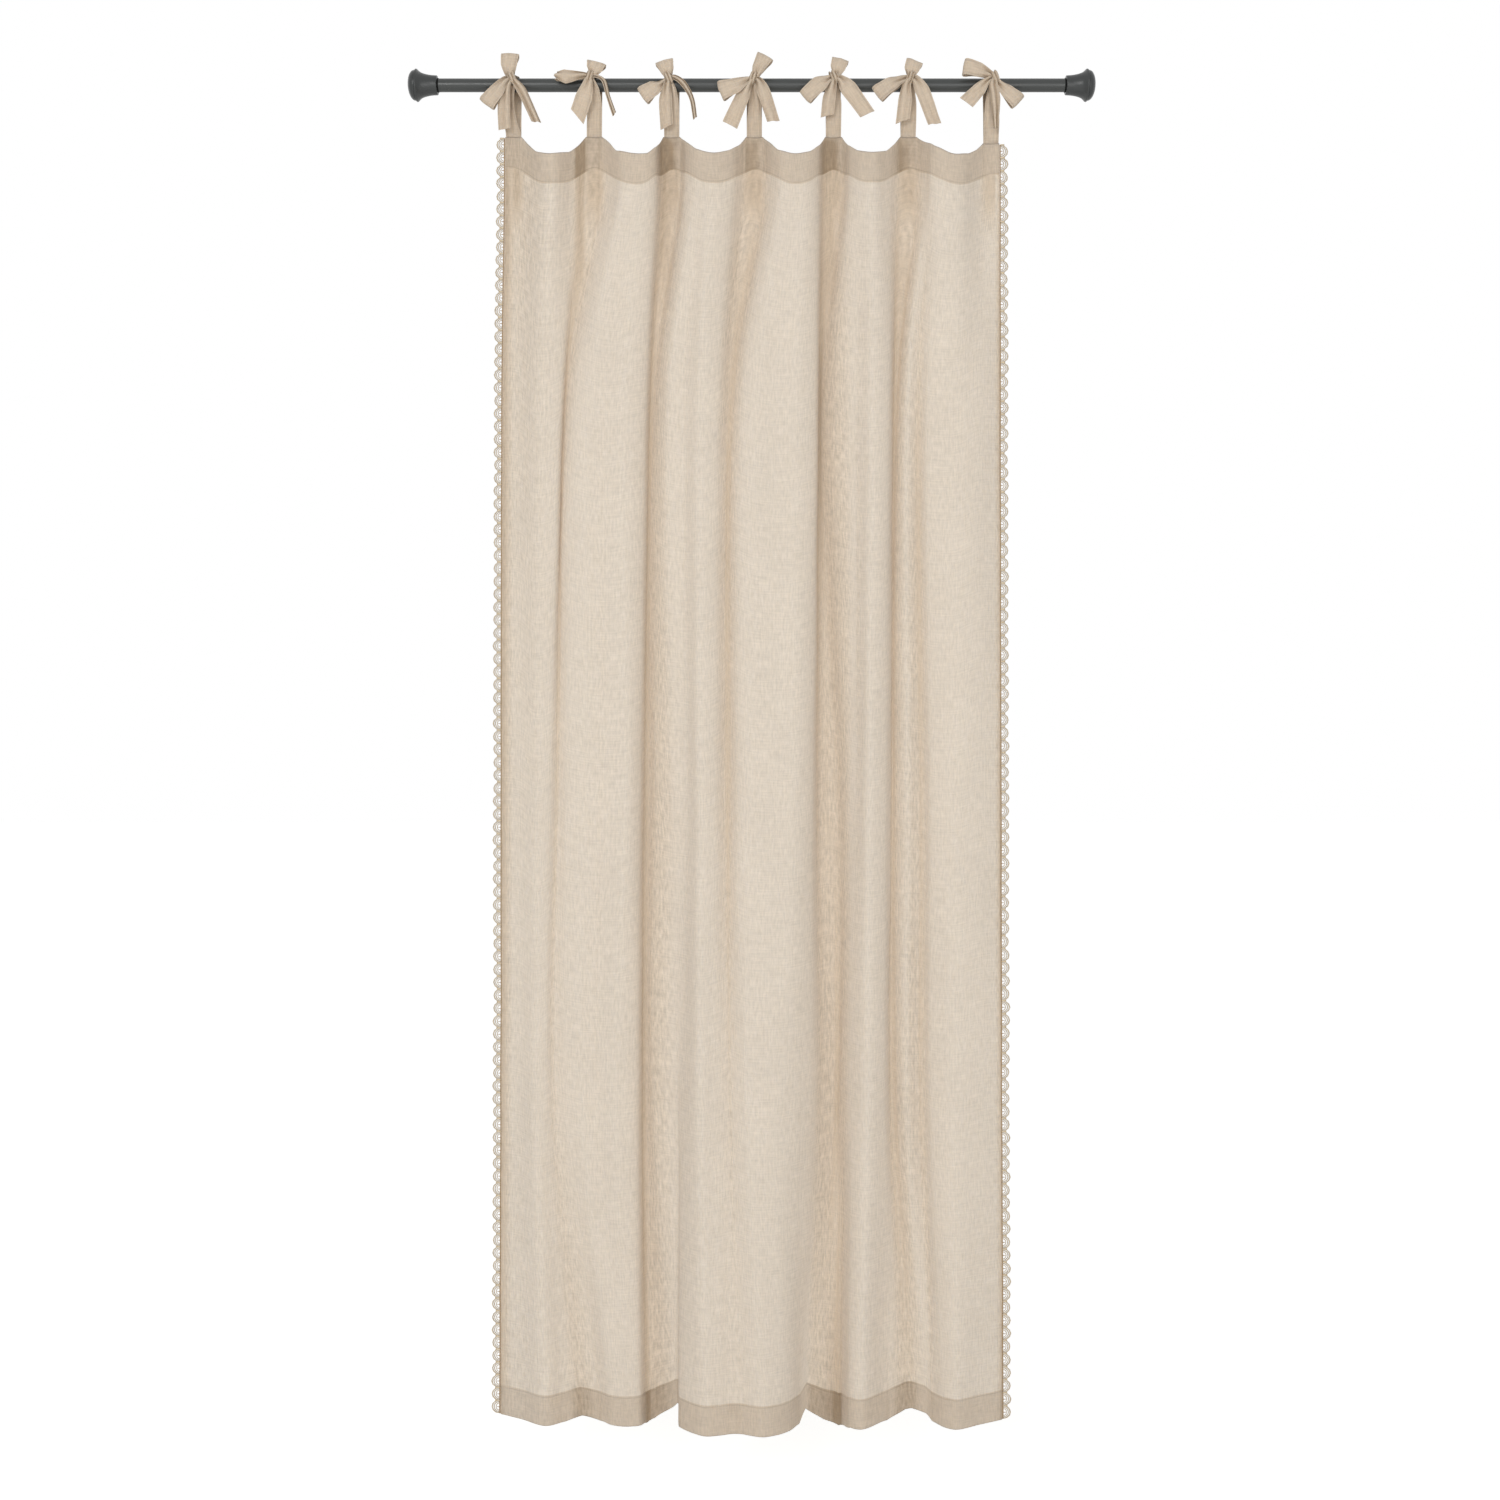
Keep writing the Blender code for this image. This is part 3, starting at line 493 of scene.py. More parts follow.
def add_grid(shape, columns, rows, place):
    """Add a grid. place(column, row) gives each corner's spot, flat place, layers and seam."""
    flat = shape.loops.layers.uv["cloth"]
    layers = shape.verts.layers.float["layers"]
    seam = shape.verts.layers.float["seam"]
    corners = {}
    made = bmesh.ops.create_grid(shape, x_segments=columns, y_segments=rows, size=0.5)
    for corner in made["verts"]:
        column = round((corner.co.x + 0.5) * columns)
        row = round((corner.co.y + 0.5) * rows)
        corner.co, corners[corner], corner[layers], corner[seam] = place(column, row)
    faces = {face for corner in corners for face in corner.link_faces}
    for face in faces:
        face.smooth = True
        for loop in face.loops:
            loop[flat].uv = corners[loop.vert]
    for edge in {edge for face in faces for edge in face.edges}:
        edge.smooth = not edge.is_boundary


def new_cloth_shape():
    shape = bmesh.new()
    shape.loops.layers.uv.new("cloth")
    shape.verts.layers.float.new("layers")
    shape.verts.layers.float.new("seam")
    return shape


def finish_piece(name, shape, look, nodes, thickness=0.0):
    """Make the object, give it its look and thickness, and let it stand for its CAD nodes."""
    mesh = bpy.data.meshes.new(name)
    shape.to_mesh(mesh)
    shape.free()
    piece = bpy.data.objects.new(name, mesh)
    bpy.context.scene.collection.objects.link(piece)
    mesh.materials.append(look)
    if thickness:
        skin = piece.modifiers.new("thickness", "SOLIDIFY")
        skin.thickness = thickness
        skin.offset = 0.0
    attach(piece, "root")
    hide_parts(*nodes)
    return piece


# ---- The panel ----

def seat_half():
    return TIE_WIDTH / 2 + TAB_MARGIN


def fold_line(fold, share):
    """A fold line's place (across, forward) at share 0 to 1 of the way from header to hem. The
    folds take their shape soon below the header, so the table's first quarter is drawn in there."""
    name, across, forward = fold
    places = [value * MM for value in across]
    if name.startswith("tab_"):
        number, side = int(name[4]) - 1, name[6:]
        places[0] = TIE_CENTRES[number] + seat_half() * (1 if side == "right" else -1)
    share += EARLY_FOLDS * share * max(0.0, 0.5 - share) ** 2
    depths = [value * MM for value in forward]
    return Vector((smooth_level(places, share), smooth_level(depths, share)))


def column_places():
    """Where the columns lie: (fold line, share of the way to the next) for each."""
    places = []
    for number, (left, right) in enumerate(zip(FOLDS, FOLDS[1:])):
        widest = max((fold_line(right, level / 4) - fold_line(left, level / 4)).length
                     for level in range(5))
        edge = SIDE_HEM / widest
        inwards = (edge / 2, edge, edge + 0.02, 0.4, 0.6, 0.8)
        if number == 0:
            places += [(number, share) for share in (0.0, *inwards)]
            continue
        if number == len(FOLDS) - 2:
            places += [(number, 1 - share) for share in (1.0, *reversed(inwards))]
            continue
        count = max(3, math.ceil(widest / CELL_WIDTH))
        places += [(number, step / count) for step in range(count)]
    places.append((len(FOLDS) - 2, 1.0))
    return places


def fold_section(share, places):
    """The cloth's section at one height: (across, forward) for each column."""
    lines = [fold_line(fold, share) for fold in FOLDS]
    padded = [lines[0] * 2 - lines[1]] + lines + [lines[-1] * 2 - lines[-2]]
    return [smooth_between(*padded[number:number + 4], along) for number, along in places]


def header_top(across):
    """The height of the header's upper edge, which sags between two ties."""
    seats = [(centre, -STRAP_DROP - lower) for centre, lower in zip(TIE_CENTRES, TAB_LOWER)]
    if across <= seats[0][0] + seat_half():
        return seats[0][1]
    for left, right, sags in zip(seats, seats[1:], SAGS):
        start, end = left[0] + seat_half(), right[0] - seat_half()
        if across <= start:
            return left[1]
        if across < end:
            share = (across - start) / (end - start)
            span = next(n for n in range(6) if share <= SAG_PLACES[n + 1])
            places = [Vector((SAG_PLACES[n], sags[n])) for n in range(7)]
            padded = [places[0] * 2 - places[1]] + places + [places[-1] * 2 - places[-2]]
            along = (share - SAG_PLACES[span]) / (SAG_PLACES[span + 1] - SAG_PLACES[span])
            sag = smooth_between(*padded[span:span + 4], along).y
            return mix(left[1], right[1], share) - HEADER_SAG * sag
    return seats[-1][1]


def cloth_rows():
    """Rows down the cloth as (place, distance in metres, behind, layers, seam).

    The place is measured below the header's edge, as a share of the body, or above the hem's edge.
    Behind is 1 on the turned-in layer at the back, and 0 on the face."""
    inside = [HEADER_HEIGHT - STITCH_INSET, 0.045, 0.035, 0.025, 0.015, 0.007, 0.002]
    stitching = [(STITCH_INSET * 1.5, 0), (STITCH_INSET, 1), (STITCH_INSET / 2, 0), (0.0, 0)]
    rows = [("below", place, 1.0, 2, 0) for place in inside]
    rows.append(("below", -0.0004, 0.5, 2, 0))
    rows += [("below", place, 0.0, 2, 0)
             for place in (0.002, 0.007, 0.013, 0.020, 0.027, 0.034, 0.041, 0.048)]
    rows += [("below", HEADER_HEIGHT - inset, 0.0, 2, seam) for inset, seam in stitching]
    count = round((CURTAIN_DROP - STRAP_DROP - HEADER_HEIGHT - HEM_HEIGHT) / CELL_HEIGHT)
    rows += [("share", step / count, 0.0, 1, 0) for step in range(count + 1)]
    rows += [("above", HEM_HEIGHT - inset, 0.0, 2, seam) for inset, seam in reversed(stitching)]
    rows += [("above", place, 0.0, 2, 0)
             for place in (0.044, 0.036, 0.028, 0.020, 0.013, 0.007, 0.002)]
    rows.append(("above", 0.0004, 0.5, 2, 0))
    rows += [("above", place, 1.0, 2, 0) for place in reversed(inside)]
    return rows


def row_height(kind, place, top):
    if kind == "below":
        return top - place
    if kind == "above":
        return -CURTAIN_DROP + place
    return mix(top - HEADER_HEIGHT - SEAM_STEP, -CURTAIN_DROP + HEM_HEIGHT + SEAM_STEP, place)


def flat_place(kind, place, behind):
    """How far down the uncut cloth a row lies, from the fold of the header."""
    length = CURTAIN_DROP - STRAP_DROP
    turned_in = behind > 0.6
    if kind == "below":
        return -place if turned_in else place
    if kind == "above":
        return length + place if turned_in else length - place
    return mix(HEADER_HEIGHT, length - HEM_HEIGHT, place)


def fold_share(height):
    """Share 0 in the header, which hangs plumb, to 1 at the hem."""
    start = -STRAP_DROP - HEADER_HEIGHT - HEADER_SAG
    return min(1.0, max(0.0, (start - height) / (start + CURTAIN_DROP)))


def crumple(flat, drop):
    """Soft creases that hold in washed linen, as a distance forward. They start below the header's
    edge, where it is stitched to the ties."""
    u, v = flat
    long_waves = noise.noise(Vector((u * 15, v * 1.3, 0.4))) * 1.3
    cross_waves = noise.noise(Vector((u * 7, v * 6, 3.1))) * 1.1
    creases = noise.noise(Vector((u * 42, v * 9, 7.7))) * 0.4
    return (long_waves + cross_waves + creases) * MM * ramp(drop, 0.0, 0.12)


def pocket_shade(across, height):
    """The painted shade where the cloth is tucked in beside a tie's foot, which fades below the
    header.
    """
    below = -STRAP_DROP - height
    tucked = sum(tone * nearness(abs(across - centre * MM), half * MM)
                 for centre, half, tone in POCKET_SHADES)
    return tucked * ramp(below, *POCKET_RISE) * (1 - ramp(below, *POCKET_FADE))


def under_tie(across, height):
    """The painted shade where the cloth is drawn together, in the first hand's width below a tie.
    """
    below = -STRAP_DROP - HEADER_HEIGHT - height
    near = max(nearness(abs(across - centre), TIE_WIDTH) for centre in TIE_CENTRES)
    return UNDER_TIE_SHADE * near * (1 - ramp(below, *UNDER_TIE_FADE))


def left_side_tone(across, share):
    """The tone of the cloth's left edge: a little darker at the top and lighter at the hem."""
    return LEFT_SIDE_STRENGTH * ramp(-across, *LEFT_SIDE_REACH) * (1 - share / LEFT_SIDE_TURN)


def folded_in(section):
    """How far each place of a section lies folded in behind the crests near it, 0 to 1, and up to
    1.1 more where it lies in the crease of a fold: the share of painted shade there."""
    shares = []
    for column, here in enumerate(section):
        left = max(place.y for place in section if 0 <= here.x - place.x <= FOLD_REACH)
        right = max(place.y for place in section if 0 <= place.x - here.x <= FOLD_REACH)
        before, after = (
            next((place for place in side if (here - place).length > CREASE_REACH), here)
            for side in (reversed(section[:column]), section[column:]))
        crease = (before.y + after.y) / 2 - here.y
        behind = min(left, right) - here.y
        shares.append(ramp(behind, *FOLD_DEPTHS) + CREASE_SHADE * ramp(crease, *CREASE_DEPTHS))
    return shares


def edge_tones(last):
    """The tone of the columns next to both side edges, where the side hems are turned in."""
    tones = dict(enumerate(LEFT_EDGE_TONES))
    tones.update((last - column, tone) for column, tone in enumerate(RIGHT_EDGE_TONES))
    return tones


def cloth_points(places):
    """The cloth's corners, as rows of (spot, flat place, layers with their tone and painted shade,
    seam).
    """
    sections = [fold_section(level / SECTIONS, places) for level in range(SECTIONS + 1)]
    widths = [0.0]
    for column in range(1, len(places)):
        steps = [(section[column] - section[column - 1]).length for section in sections]
        widths.append(widths[-1] + sum(steps) / len(steps))
    tops = [header_top(place.x) for place in sections[0]]
    seams = [sum(header_top(place.x + step * 4 * MM) for step in range(-5, 6)) / 11
             for place in sections[0]]
    folded = [folded_in(section) for section in sections]
    lifts = [mix(*(HEM_LIFTS.get(FOLDS[n][0], 0) * MM for n in (number, number + 1)), along)
             for number, along in places]
    edges = edge_tones(len(places) - 1)
    rows = []
    for kind, place, behind, layers, seam in cloth_rows():
        row = []
        for column, (number, along) in enumerate(places):
            down = ramp(place, 0.0, HEADER_HEIGHT) if kind == "below" else 1.0
            height = row_height(kind, place, mix(tops[column], seams[column], down))
            share = fold_share(height)
            section = [fold_line(FOLDS[min(max(n, 0), len(FOLDS) - 1)], share)
                       for n in range(number - 1, number + 3)]
            if number == 0:
                section[0] = section[1] * 2 - section[2]
            if number == len(FOLDS) - 2:
                section[3] = section[2] * 2 - section[1]
            spot = smooth_between(*section, along)
            ahead = smooth_between(*section, min(1.0, along + 0.02))
            rear = smooth_between(*section, max(0.0, along - 0.02))
            run = (ahead - rear).normalized()
            drop = tops[column] - height
            height += lifts[column] * share ** HEM_LIFT_POWER
            flat = (widths[column], flat_place(kind, place, behind))
            off = crumple((widths[column], drop), drop) - behind * LAYER_GAP
            spot = spot + Vector((-run.y, run.x)) * off

            # Tones on top of the layers: painted shade beside the ties' feet, under the ties and in
            # the folds, and the left side's darker top and lighter hem.
            tone = pocket_shade(spot.x, height)
            if layers == 1 and column not in edges:
                tone = max(tone, under_tie(spot.x, height))
            if layers == 1 or share > LEFT_SIDE_TURN:
                tone += left_side_tone(spot.x, share)
            level = min(int(share * SECTIONS), SECTIONS - 1)
            fold_shade = mix(folded[level][column], folded[level + 1][column],
                          share * SECTIONS - level)
            tone += fold_shade * mix(*FOLD_SHADES, ramp(share, *FOLD_TONE_RISE))
            name = FOLDS[number][0]
            if column in edges:
                tone += layers + edges[column] * (1 if layers == 1 else EDGE_TONE_ON_HEMS)
            elif kind == "below" and name.startswith("tab_") and name.endswith("left"):
                tone += TAB_LAYERS
            else:
                tone += layers
            row.append((Vector((spot.x, -spot.y, height)), flat, tone, seam))
        rows.append(row)
    return rows


def make_panel(rows, look):
    shape = new_cloth_shape()
    last = len(rows) - 1
    add_grid(shape, len(rows[0]) - 1, last, lambda column, row: rows[last - row][column])
    return finish_piece("linen_panel", shape, look, ["curtain_panel"], CLOTH_THICKNESS)


# ---- The lace ----

def scallop_shape(pitch):
    """One scallop lying flat: x outwards, y down the edge. It has three bows of cord, a stub, a
    heading along the cloth, and a picot where it meets the next."""
    shape = bmesh.new()
    fore = shape.verts.layers.float.new("fore")
    half = pitch / 2
    upright = Matrix.Rotation(-math.pi / 2, 3, "X") @ Matrix.Rotation(math.pi / 2, 3, "Y")
    for reach, span, cord in LACE_BOWS:
        ring = bmesh.ops.create_circle(shape, cap_ends=False, segments=3, radius=1.0)["verts"]
        bmesh.ops.rotate(shape, verts=ring, cent=(0, 0, 0), matrix=upright)
        for corner in ring:
            corner[fore] = -corner.co.z
        bmesh.ops.scale(shape, verts=ring, vec=(1.0, cord / (half * span), cord))
        bmesh.ops.translate(shape, verts=ring, vec=(0, -1.0, 0))
        edges = list({edge for corner in ring for edge in corner.link_edges})
        bmesh.ops.spin(shape, geom=ring + edges, cent=(0, 0, 0), axis=(0, 0, 1), dvec=(0, 0, 0),
                       angle=math.pi, steps=6, use_duplicate=False)
        loose = [corner for corner in shape.verts if not corner.tag]
        bmesh.ops.scale(shape, verts=loose, vec=(reach, half * span, 1.0))
        for corner in loose:
            corner.tag = True
    bmesh.ops.translate(shape, verts=shape.verts[:], vec=(BOW_START, half, 0))
    out, length, thick_end, thin_end = STUB
    turned = Matrix.Translation((out, half, 0)) @ Matrix.Rotation(math.pi / 2, 4, "Y")
    bmesh.ops.create_cone(shape, segments=3, radius1=thick_end, radius2=thin_end, depth=length,
                          matrix=turned)
    out, width, thickness = HEADING
    sized = Matrix.Translation((out, half, 0)) @ Matrix.Diagonal((width, pitch, thickness, 1.0))
    bmesh.ops.create_cube(shape, size=1.0, matrix=sized)
    out, *size = PICOT
    sized = Matrix.Translation((out, 0, 0)) @ Matrix.Diagonal((*size, 1.0))
    for corner in bmesh.ops.create_cube(shape, size=1.0, matrix=sized)["verts"]:
        corner[fore] = PICOT_FORE
    bmesh.ops.recalc_face_normals(shape, faces=shape.faces[:])
    return shape


def edge_place(edge, height):
    for upper, lower in zip(edge, edge[1:]):
        if height >= lower.z:
            share = (upper.z - height) / (upper.z - lower.z)
            return upper.lerp(lower, max(0.0, share))
    return edge[-1]


def make_lace(name, side, edge, look):
    top, bottom = edge[0].z, edge[-1].z
    count = round((top - bottom) / LACE_PITCH)
    pitch = (top - bottom) / count
    shape = scallop_shape(pitch)
    single = shape.verts[:] + shape.edges[:] + shape.faces[:]
    for number in range(1, count):
        copied = bmesh.ops.duplicate(shape, geom=single)["geom"]
        corners = [item for item in copied if isinstance(item, bmesh.types.BMVert)]
        bmesh.ops.translate(shape, verts=corners, vec=(0.0, number * pitch, 0.0))
    for corner in shape.verts:
        outward, down, thick = corner.co
        anchor = edge_place(edge, top - down)
        uneven = noise.noise(Vector((down * 45, side * 5.0, 1.7)))
        reach = LACE_CLEARANCE + outward * (1 + UNEVEN_REACH * uneven)
        lift = noise.noise(Vector((down * 30, side * 9.0, 4.2))) * outward * UNEVEN_LIFT
        corner.co = (anchor.x + side * reach, anchor.y + thick + lift, top - down)
    bmesh.ops.recalc_face_normals(shape, faces=shape.faces[:])
    for face in shape.faces:
        face.smooth = True
    return finish_piece(f"crocheted_border_{name}", shape, look, [f"lace_{name}"])


# ---- The ties ----

def smooth_path(stations):
    """Close stations on a smooth curve through the given ones, as (middle, half width) pairs."""
    middles = [middle for middle, _ in stations]
    padded = [middles[0] * 2 - middles[1]] + middles + [middles[-1] * 2 - middles[-2]]
    path = []
    for index in range(len(stations) - 1):
        count = max(1, math.ceil((middles[index + 1] - middles[index]).length / RIBBON_STEP))
        for step in range(count):
            along = step / count
            half = stations[index][1].lerp(stations[index + 1][1], ease(along) * 0.5 + along * 0.5)
            path.append((smooth_between(*padded[index:index + 4], along), half))
    return path + [stations[-1]]


def add_ribbon(shape, stations, seed, cut=0.0, crown=0.0012, pleats=3):
    """Add a ribbon along the stations. Where it is drawn narrower than it is cut, it gathers in
    pleats, whose hollows are painted darker as shade, as are its parts behind the rod."""
    path = smooth_path(stations)
    last = len(path) - 1
    travelled = [0.0]
    for before, after in zip(path, path[1:]):
        travelled.append(travelled[-1] + (after[0] - before[0]).length)

    def place(column, row):
        middle, half = path[column]
        run = (path[min(column + 1, last)][0] - path[max(column - 1, 0)][0]).normalized()
        facing = half.cross(run).normalized()
        across = 2 * row / RIBBON_CELLS - 1
        slack = math.sqrt(max(0.0, (TIE_WIDTH / 2) ** 2 - half.length ** 2))
        wave = math.sin((across * pleats + seed * 0.7) * math.pi / 2)
        pleat = wave * slack / pleats * PLEAT_DEPTH
        bulge = crown * (1 - across ** 2)
        ripple = noise.noise(Vector((across * 1.2, travelled[column] * 55, seed * 3.7)))
        left = travelled[-1] - travelled[column]
        skew = cut * MM * across * ease(1 - left / CUT_LENGTH)
        off = facing * (pleat + bulge + ripple * RIBBON_RIPPLE)
        spot = middle + half * across + off + run * skew
        seam = 1 if row in (1, RIBBON_CELLS - 1) else 0
        flat = (across * TIE_WIDTH / 2 + seed * 0.1, travelled[column])
        # Painted shade behind the rod, and in the pleats' hollows where the ribbon is gathered.
        behind = BEHIND_SHADE * ramp(spot.y, *BEHIND_DEPTHS)
        narrowed = ease((1 - half.length * 2 / TIE_WIDTH) * 1.4)
        hollow = ease(0.5 + 0.5 * wave * facing.y)
        return spot, flat, 2 + behind + GATHERED_SHADE * narrowed * hollow, seam

    add_grid(shape, last, RIBBON_CELLS, place)


def flying_stations(places):
    """Stations of a loop or tail: the ribbon's width lies square to its run, facing the room."""
    middles = [Vector((across, -forward, height)) for across, height, forward, _ in places]
    stations = []
    for index, (middle, place) in enumerate(zip(middles, places)):
        run = middles[min(index + 1, len(middles) - 1)] - middles[max(index - 1, 0)]
        square = Vector((run.z, 0, -run.x)).normalized()
        stations.append((middle, square * place[3] / 2))
    return stations


def loop_stations(places):
    """A loop goes out, turns at its nose and comes back behind itself."""
    out = flying_stations(places)
    (middle, half), before = out[-1], out[-2][0]
    away = Vector((middle.x - before.x, 0, middle.z - before.z)).normalized()
    nose = (middle + away * LOOP_NOSE + Vector((0, LOOP_OPENING / 2, 0)), half)
    turn = (middle + Vector((0, LOOP_OPENING, 0)), half)
    halfway = (out[1][0].lerp(middle, 0.45) + Vector((0, LOOP_OPENING * 0.8, 0)),
               out[1][1].lerp(half, 0.3))
    end = (out[0][0] + Vector((0, KNOT_SIZE[1] / 2, 0)), out[0][1])
    return out + [nose, turn, halfway, end]


def leg_stations(centre, top_edge, knot, places):
    """Both legs: from the knot down to behind the header, up the back and over the rod."""
    bar = ROD_RADIUS + TIE_THICKNESS / 2 + ROD_GAP
    seat = -(CLOTH_THICKNESS + LAYER_GAP + TIE_THICKNESS + SEAT_GAP)
    back = seat - TIE_THICKNESS * 2
    foot = top_edge - HEADER_HEIGHT + TIE_FOOT_INSET
    path = [(KNOT_FORWARD - 0.002, knot.z, knot.x, LEG_AT_KNOT)]
    path += [(forward * MM, height * MM, centre + across * MM, width * MM)
             for across, height, forward, width in places]
    path += [(forward, height, centre, TIE_WIDTH) for forward, height in
             ((seat, top_edge + 0.004), (seat, mix(top_edge, foot, 0.5)), (seat, foot),
              (back, foot), (back, top_edge), (-bar * 0.75, -0.050), (-bar, -0.016))]
    for degrees, width in OVER_ROD:
        angle = math.radians(degrees)
        across = mix(centre, knot.x, 1 - degrees / 180)
        path.append((math.cos(angle) * bar, math.sin(angle) * bar, across, width))
    path.append((KNOT_FORWARD - 0.003, knot.z + KNOT_SIZE[2] / 2, knot.x, LEG_AT_KNOT))
    return [(Vector((across, -forward, height)), Vector((width / 2, 0, 0)))
            for forward, height, across, width in path]


def wrap_stations(knot, tilt):
    """The turn of ribbon round the knot, over its front and under its back."""
    stations = []
    for step in range(WRAP_STEPS + 1):
        angle = math.tau * step / WRAP_STEPS + math.pi
        middle = knot + Vector((math.sin(angle) * tilt * KNOT_SIZE[2],
                                -math.cos(angle) * (KNOT_SIZE[1] + WRAP_GAP),
                                math.sin(angle) * (KNOT_SIZE[2] + WRAP_RISE)))
        stations.append((middle, Vector((WRAP_HALF_WIDTH, 0, -tilt * WRAP_HALF_WIDTH))))
    return stations


def make_tie(number, look):
    centre = TIE_CENTRES[number]
    bow = BOWS[number]
    knot = Vector((centre + bow["knot"][0] * MM, -KNOT_FORWARD, bow["knot"][1] * MM))
    shape = new_cloth_shape()
    top_edge = -STRAP_DROP - TAB_LOWER[number]
    add_ribbon(shape, leg_stations(centre, top_edge, knot, bow["front_leg"]), number)
    for layer, part in enumerate(("top_loop", "side_loop", "side_tail", "front_tail")):
        start = (knot.x, knot.z, KNOT_FORWARD + (layer - 1.5) * KNOT_LAYER_STEP, KNOT_ENTRY)
        places = [start] + [(centre + x * MM, z * MM, f * MM, w * MM) for x, z, f, w in bow[part]]
        stations = loop_stations(places) if part.endswith("loop") else flying_stations(places)
        cut = 0.0 if part.endswith("loop") else bow["cut"][0 if part == "front_tail" else 1]
        add_ribbon(shape, stations, number * 5 + layer + 1, cut)
    add_ribbon(shape, wrap_stations(knot, WRAP_TILTS[number % 2]), number + 31, pleats=4)
    return finish_piece(f"linen_tie_{number + 1}", shape, look, [f"tie_{number + 1}"],
                        TIE_THICKNESS)


# ---- The rod and its ends ----

# Profiles as (distance out from the end of the shown tube, radius) in mm.
BELL_OUTSIDE = (
    (0.0, 16.6), (0.4, 17.1), (1.2, 17.3), (6.5, 17.5), (12.0, 18.0), (16.0, 18.6), (20.0, 19.4),
    (24.0, 20.4), (27.5, 21.6), (30.5, 23.0), (33.0, 24.8), (35.0, 26.7), (36.4, 28.2),
    (37.4, 28.8), (38.4, 29.0), (39.3, 28.7), (39.8, 28.0),
)
BELL_INSIDE = ((39.8, 20.0), (31.3, 20.0), (31.3, 12.3), (0.0, 12.3))
CAP_PROFILE = (
    (31.6, 0.0), (31.6, 19.7), (40.2, 19.7), (40.2, 26.4), (40.5, 26.8), (42.0, 26.8), (44.0, 26.3),
    (46.0, 25.3), (47.6, 23.9), (49.2, 21.9), (50.6, 19.4), (51.8, 16.6), (52.6, 14.0),
    (53.0, 12.4), (52.9, 11.4), (52.9, 0.0),
)
# A black ring round the tube at the bell's collar: painted shadow of the gap where the tube goes
# into the collar, which shows as a black line.
GAP_SHADOW_PROFILE = ((-2.6, 12.05), (-2.6, 12.5), (0.3, 12.5), (0.3, 12.05))
TURNED_STEPS = 96
WELD_DISTANCE = 0.000005
SHARP_EDGE = math.radians(40)


def turned_shape(profile, closed):
    """Spin a profile round the X axis, right round."""
    shape = bmesh.new()
    corners = [shape.verts.new((out * MM, 0.0, radius * MM)) for out, radius in profile]
    ends = zip(corners, corners[1:] + corners[:1]) if closed else zip(corners, corners[1:])
    edges = [shape.edges.new(pair) for pair in ends]
    bmesh.ops.spin(shape, geom=corners + edges, cent=(0, 0, 0), axis=(1, 0, 0), dvec=(0, 0, 0),
                   angle=math.tau, steps=TURNED_STEPS, use_merge=True, use_duplicate=False)
    bmesh.ops.remove_doubles(shape, verts=shape.verts[:], dist=WELD_DISTANCE)
    bmesh.ops.recalc_face_normals(shape, faces=shape.faces[:])
    for face in shape.faces:
        face.smooth = True
    for edge in shape.edges:
        edge.smooth = edge.calc_face_angle(0.0) < SHARP_EDGE
    return shape


def make_rod(looks):
    half = (ROD_SHOWN / 2 + SOCKET_DEPTH) / MM
    outer, inner = ROD_RADIUS / MM, (ROD_RADIUS - ROD_WALL) / MM
    tube = turned_shape([(-half, outer), (half, outer), (half, inner), (-half, inner)], True)
    rod = finish_piece("steel_rod", tube, looks["tube"], ["rod_tube"])
    for side, label in ((-1, "left"), (1, "right")):
        for kind, node, profile, closed in (("bell", "finial", BELL_OUTSIDE + BELL_INSIDE, True),
                                            ("cap", "end_cap", CAP_PROFILE, False)):
            shape = turned_shape(profile, closed)
            if kind == "bell":
                # The bell carries the black ring of painted shadow at its collar.
                gap_shadow = bpy.data.meshes.new("gap_shadow")
                ring = turned_shape(GAP_SHADOW_PROFILE, True)
                for face in ring.faces:
                    face.material_index = 1
                ring.to_mesh(gap_shadow)
                ring.free()
                shape.from_mesh(gap_shadow)
                bpy.data.meshes.remove(gap_shadow)
            bmesh.ops.translate(shape, verts=shape.verts[:], vec=(ROD_SHOWN / 2, 0, 0))
            if side < 0:
                bmesh.ops.rotate(shape, verts=shape.verts[:], cent=(0, 0, 0),
                                 matrix=Matrix.Rotation(math.pi, 3, "Z"))
            piece = finish_piece(f"{kind}_{label}", shape, looks[node], [f"{node}_{label}"])
            if kind == "bell":
                piece.data.materials.append(looks["gap_shadow"])
    return rod


# ---- Camera, floor and light ----

def make_camera():
    lens = bpy.data.cameras.new("view")
    lens.sensor_width = 36.0
    lens.sensor_fit = "HORIZONTAL"
    lens.lens = FOCAL_LENGTH
    camera = bpy.data.objects.new("view", lens)
    camera.location = CAMERA_PLACE
    camera.rotation_euler = (math.pi / 2, 0, 0)
    bpy.context.scene.collection.objects.link(camera)
    bpy.context.scene.camera = camera


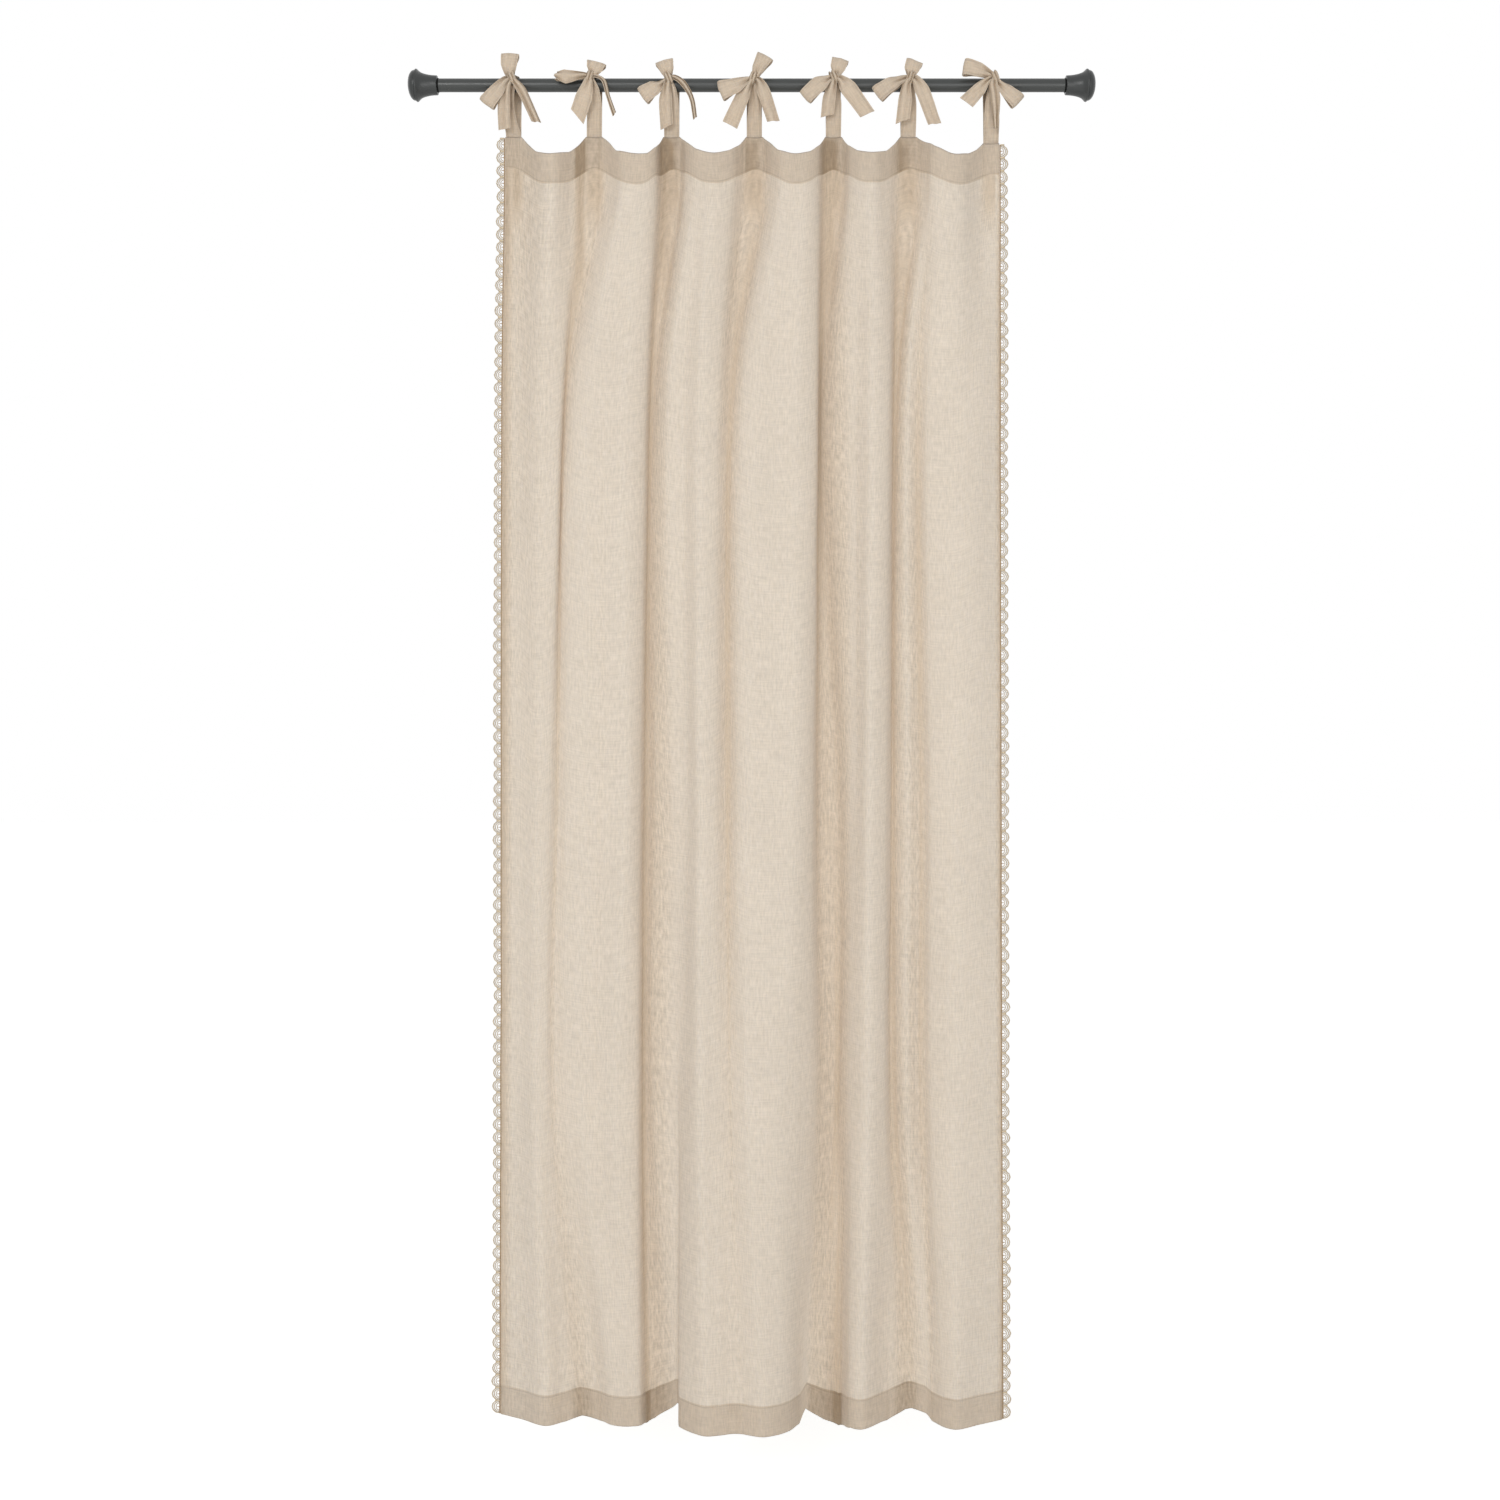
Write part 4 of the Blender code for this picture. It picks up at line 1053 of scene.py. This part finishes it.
def make_floor():
    shape = bmesh.new()
    bmesh.ops.create_grid(shape, x_segments=1, y_segments=1, size=FLOOR_HALF_SIZE)
    bmesh.ops.translate(shape, verts=shape.verts[:], vec=(0, 0, -CURTAIN_DROP - FLOOR_BELOW_HEM))
    mesh = bpy.data.meshes.new("floor")
    shape.to_mesh(mesh)
    shape.free()
    floor = bpy.data.objects.new("floor", mesh)
    bpy.context.scene.collection.objects.link(floor)
    mesh.materials.append(matt_floor())


def make_world():
    """A soft white studio: white where it is seen, and dimmer as light on the object."""
    world = bpy.data.worlds.new("studio")
    world.use_nodes = True
    bpy.context.scene.world = world
    back = world.node_tree.nodes["Background"]
    back.inputs[0].default_value = (1, 1, 1, 1)
    feed(world, spread(world, seen_itself(world), 0.0, 1.0, *STUDIO_LIGHT), back.inputs[1])


def make_light(name, place, size, power):
    """A round softbox, size metres across, that points at the middle of the curtain."""
    lamp = bpy.data.lights.new(name, "AREA")
    lamp.shape = "DISK"
    lamp.size = size
    lamp.energy = power
    light = bpy.data.objects.new(name, lamp)
    light.location = place
    light.rotation_euler = (Vector(LIGHT_AIM) - Vector(place)).to_track_quat("-Z", "Y").to_euler()
    bpy.context.scene.collection.objects.link(light)


make_camera()
make_world()
make_floor()
make_light("key", (-1.7, -5.8, 0.4), 2.2, 107)
make_light("fill", (1.5, -6.1, -1.4), 3.0, 72)

# The double and treble colours of both linens also serve as painted shade, where it is added to the
# layers.
linen = woven_linen("woven_washed_linen", "DCCFC0", "CFBEAB", "A38F78")
tape = woven_linen("stitched_linen_tape", "CFBEAB", "CDBCA8", "9C8871")
looks = {
    "tube": powder_coat("powder_coated_steel", "3D3F3E", 0.33, 1.2),
    "finial": powder_coat("moulded_matt_plastic", "363838", 0.33, 0.9),
    # The black ring at each collar is painted shadow.
    "gap_shadow": new_look("black_gap_shadow", "0C0C0C", 0.8, Specular_IOR_Level=0.2)[0],
    "end_cap": powder_coat("moulded_plastic_cap", "343636", 0.33, 0.9),
}
rod = make_rod(looks)
corners = cloth_points(column_places())
panel = make_panel(corners, linen)
front = [row for row, kind in zip(corners, cloth_rows()) if kind[2] == 0.0]
lace_look = crocheted_cotton()
laces = [make_lace("left", -1, [row[0][0] for row in front], lace_look),
         make_lace("right", 1, [row[-1][0] for row in front], lace_look)]
ties = [make_tie(number, tape) for number in range(len(TIE_CENTRES))]

bpy.context.scene.view_settings.view_transform = "Standard"
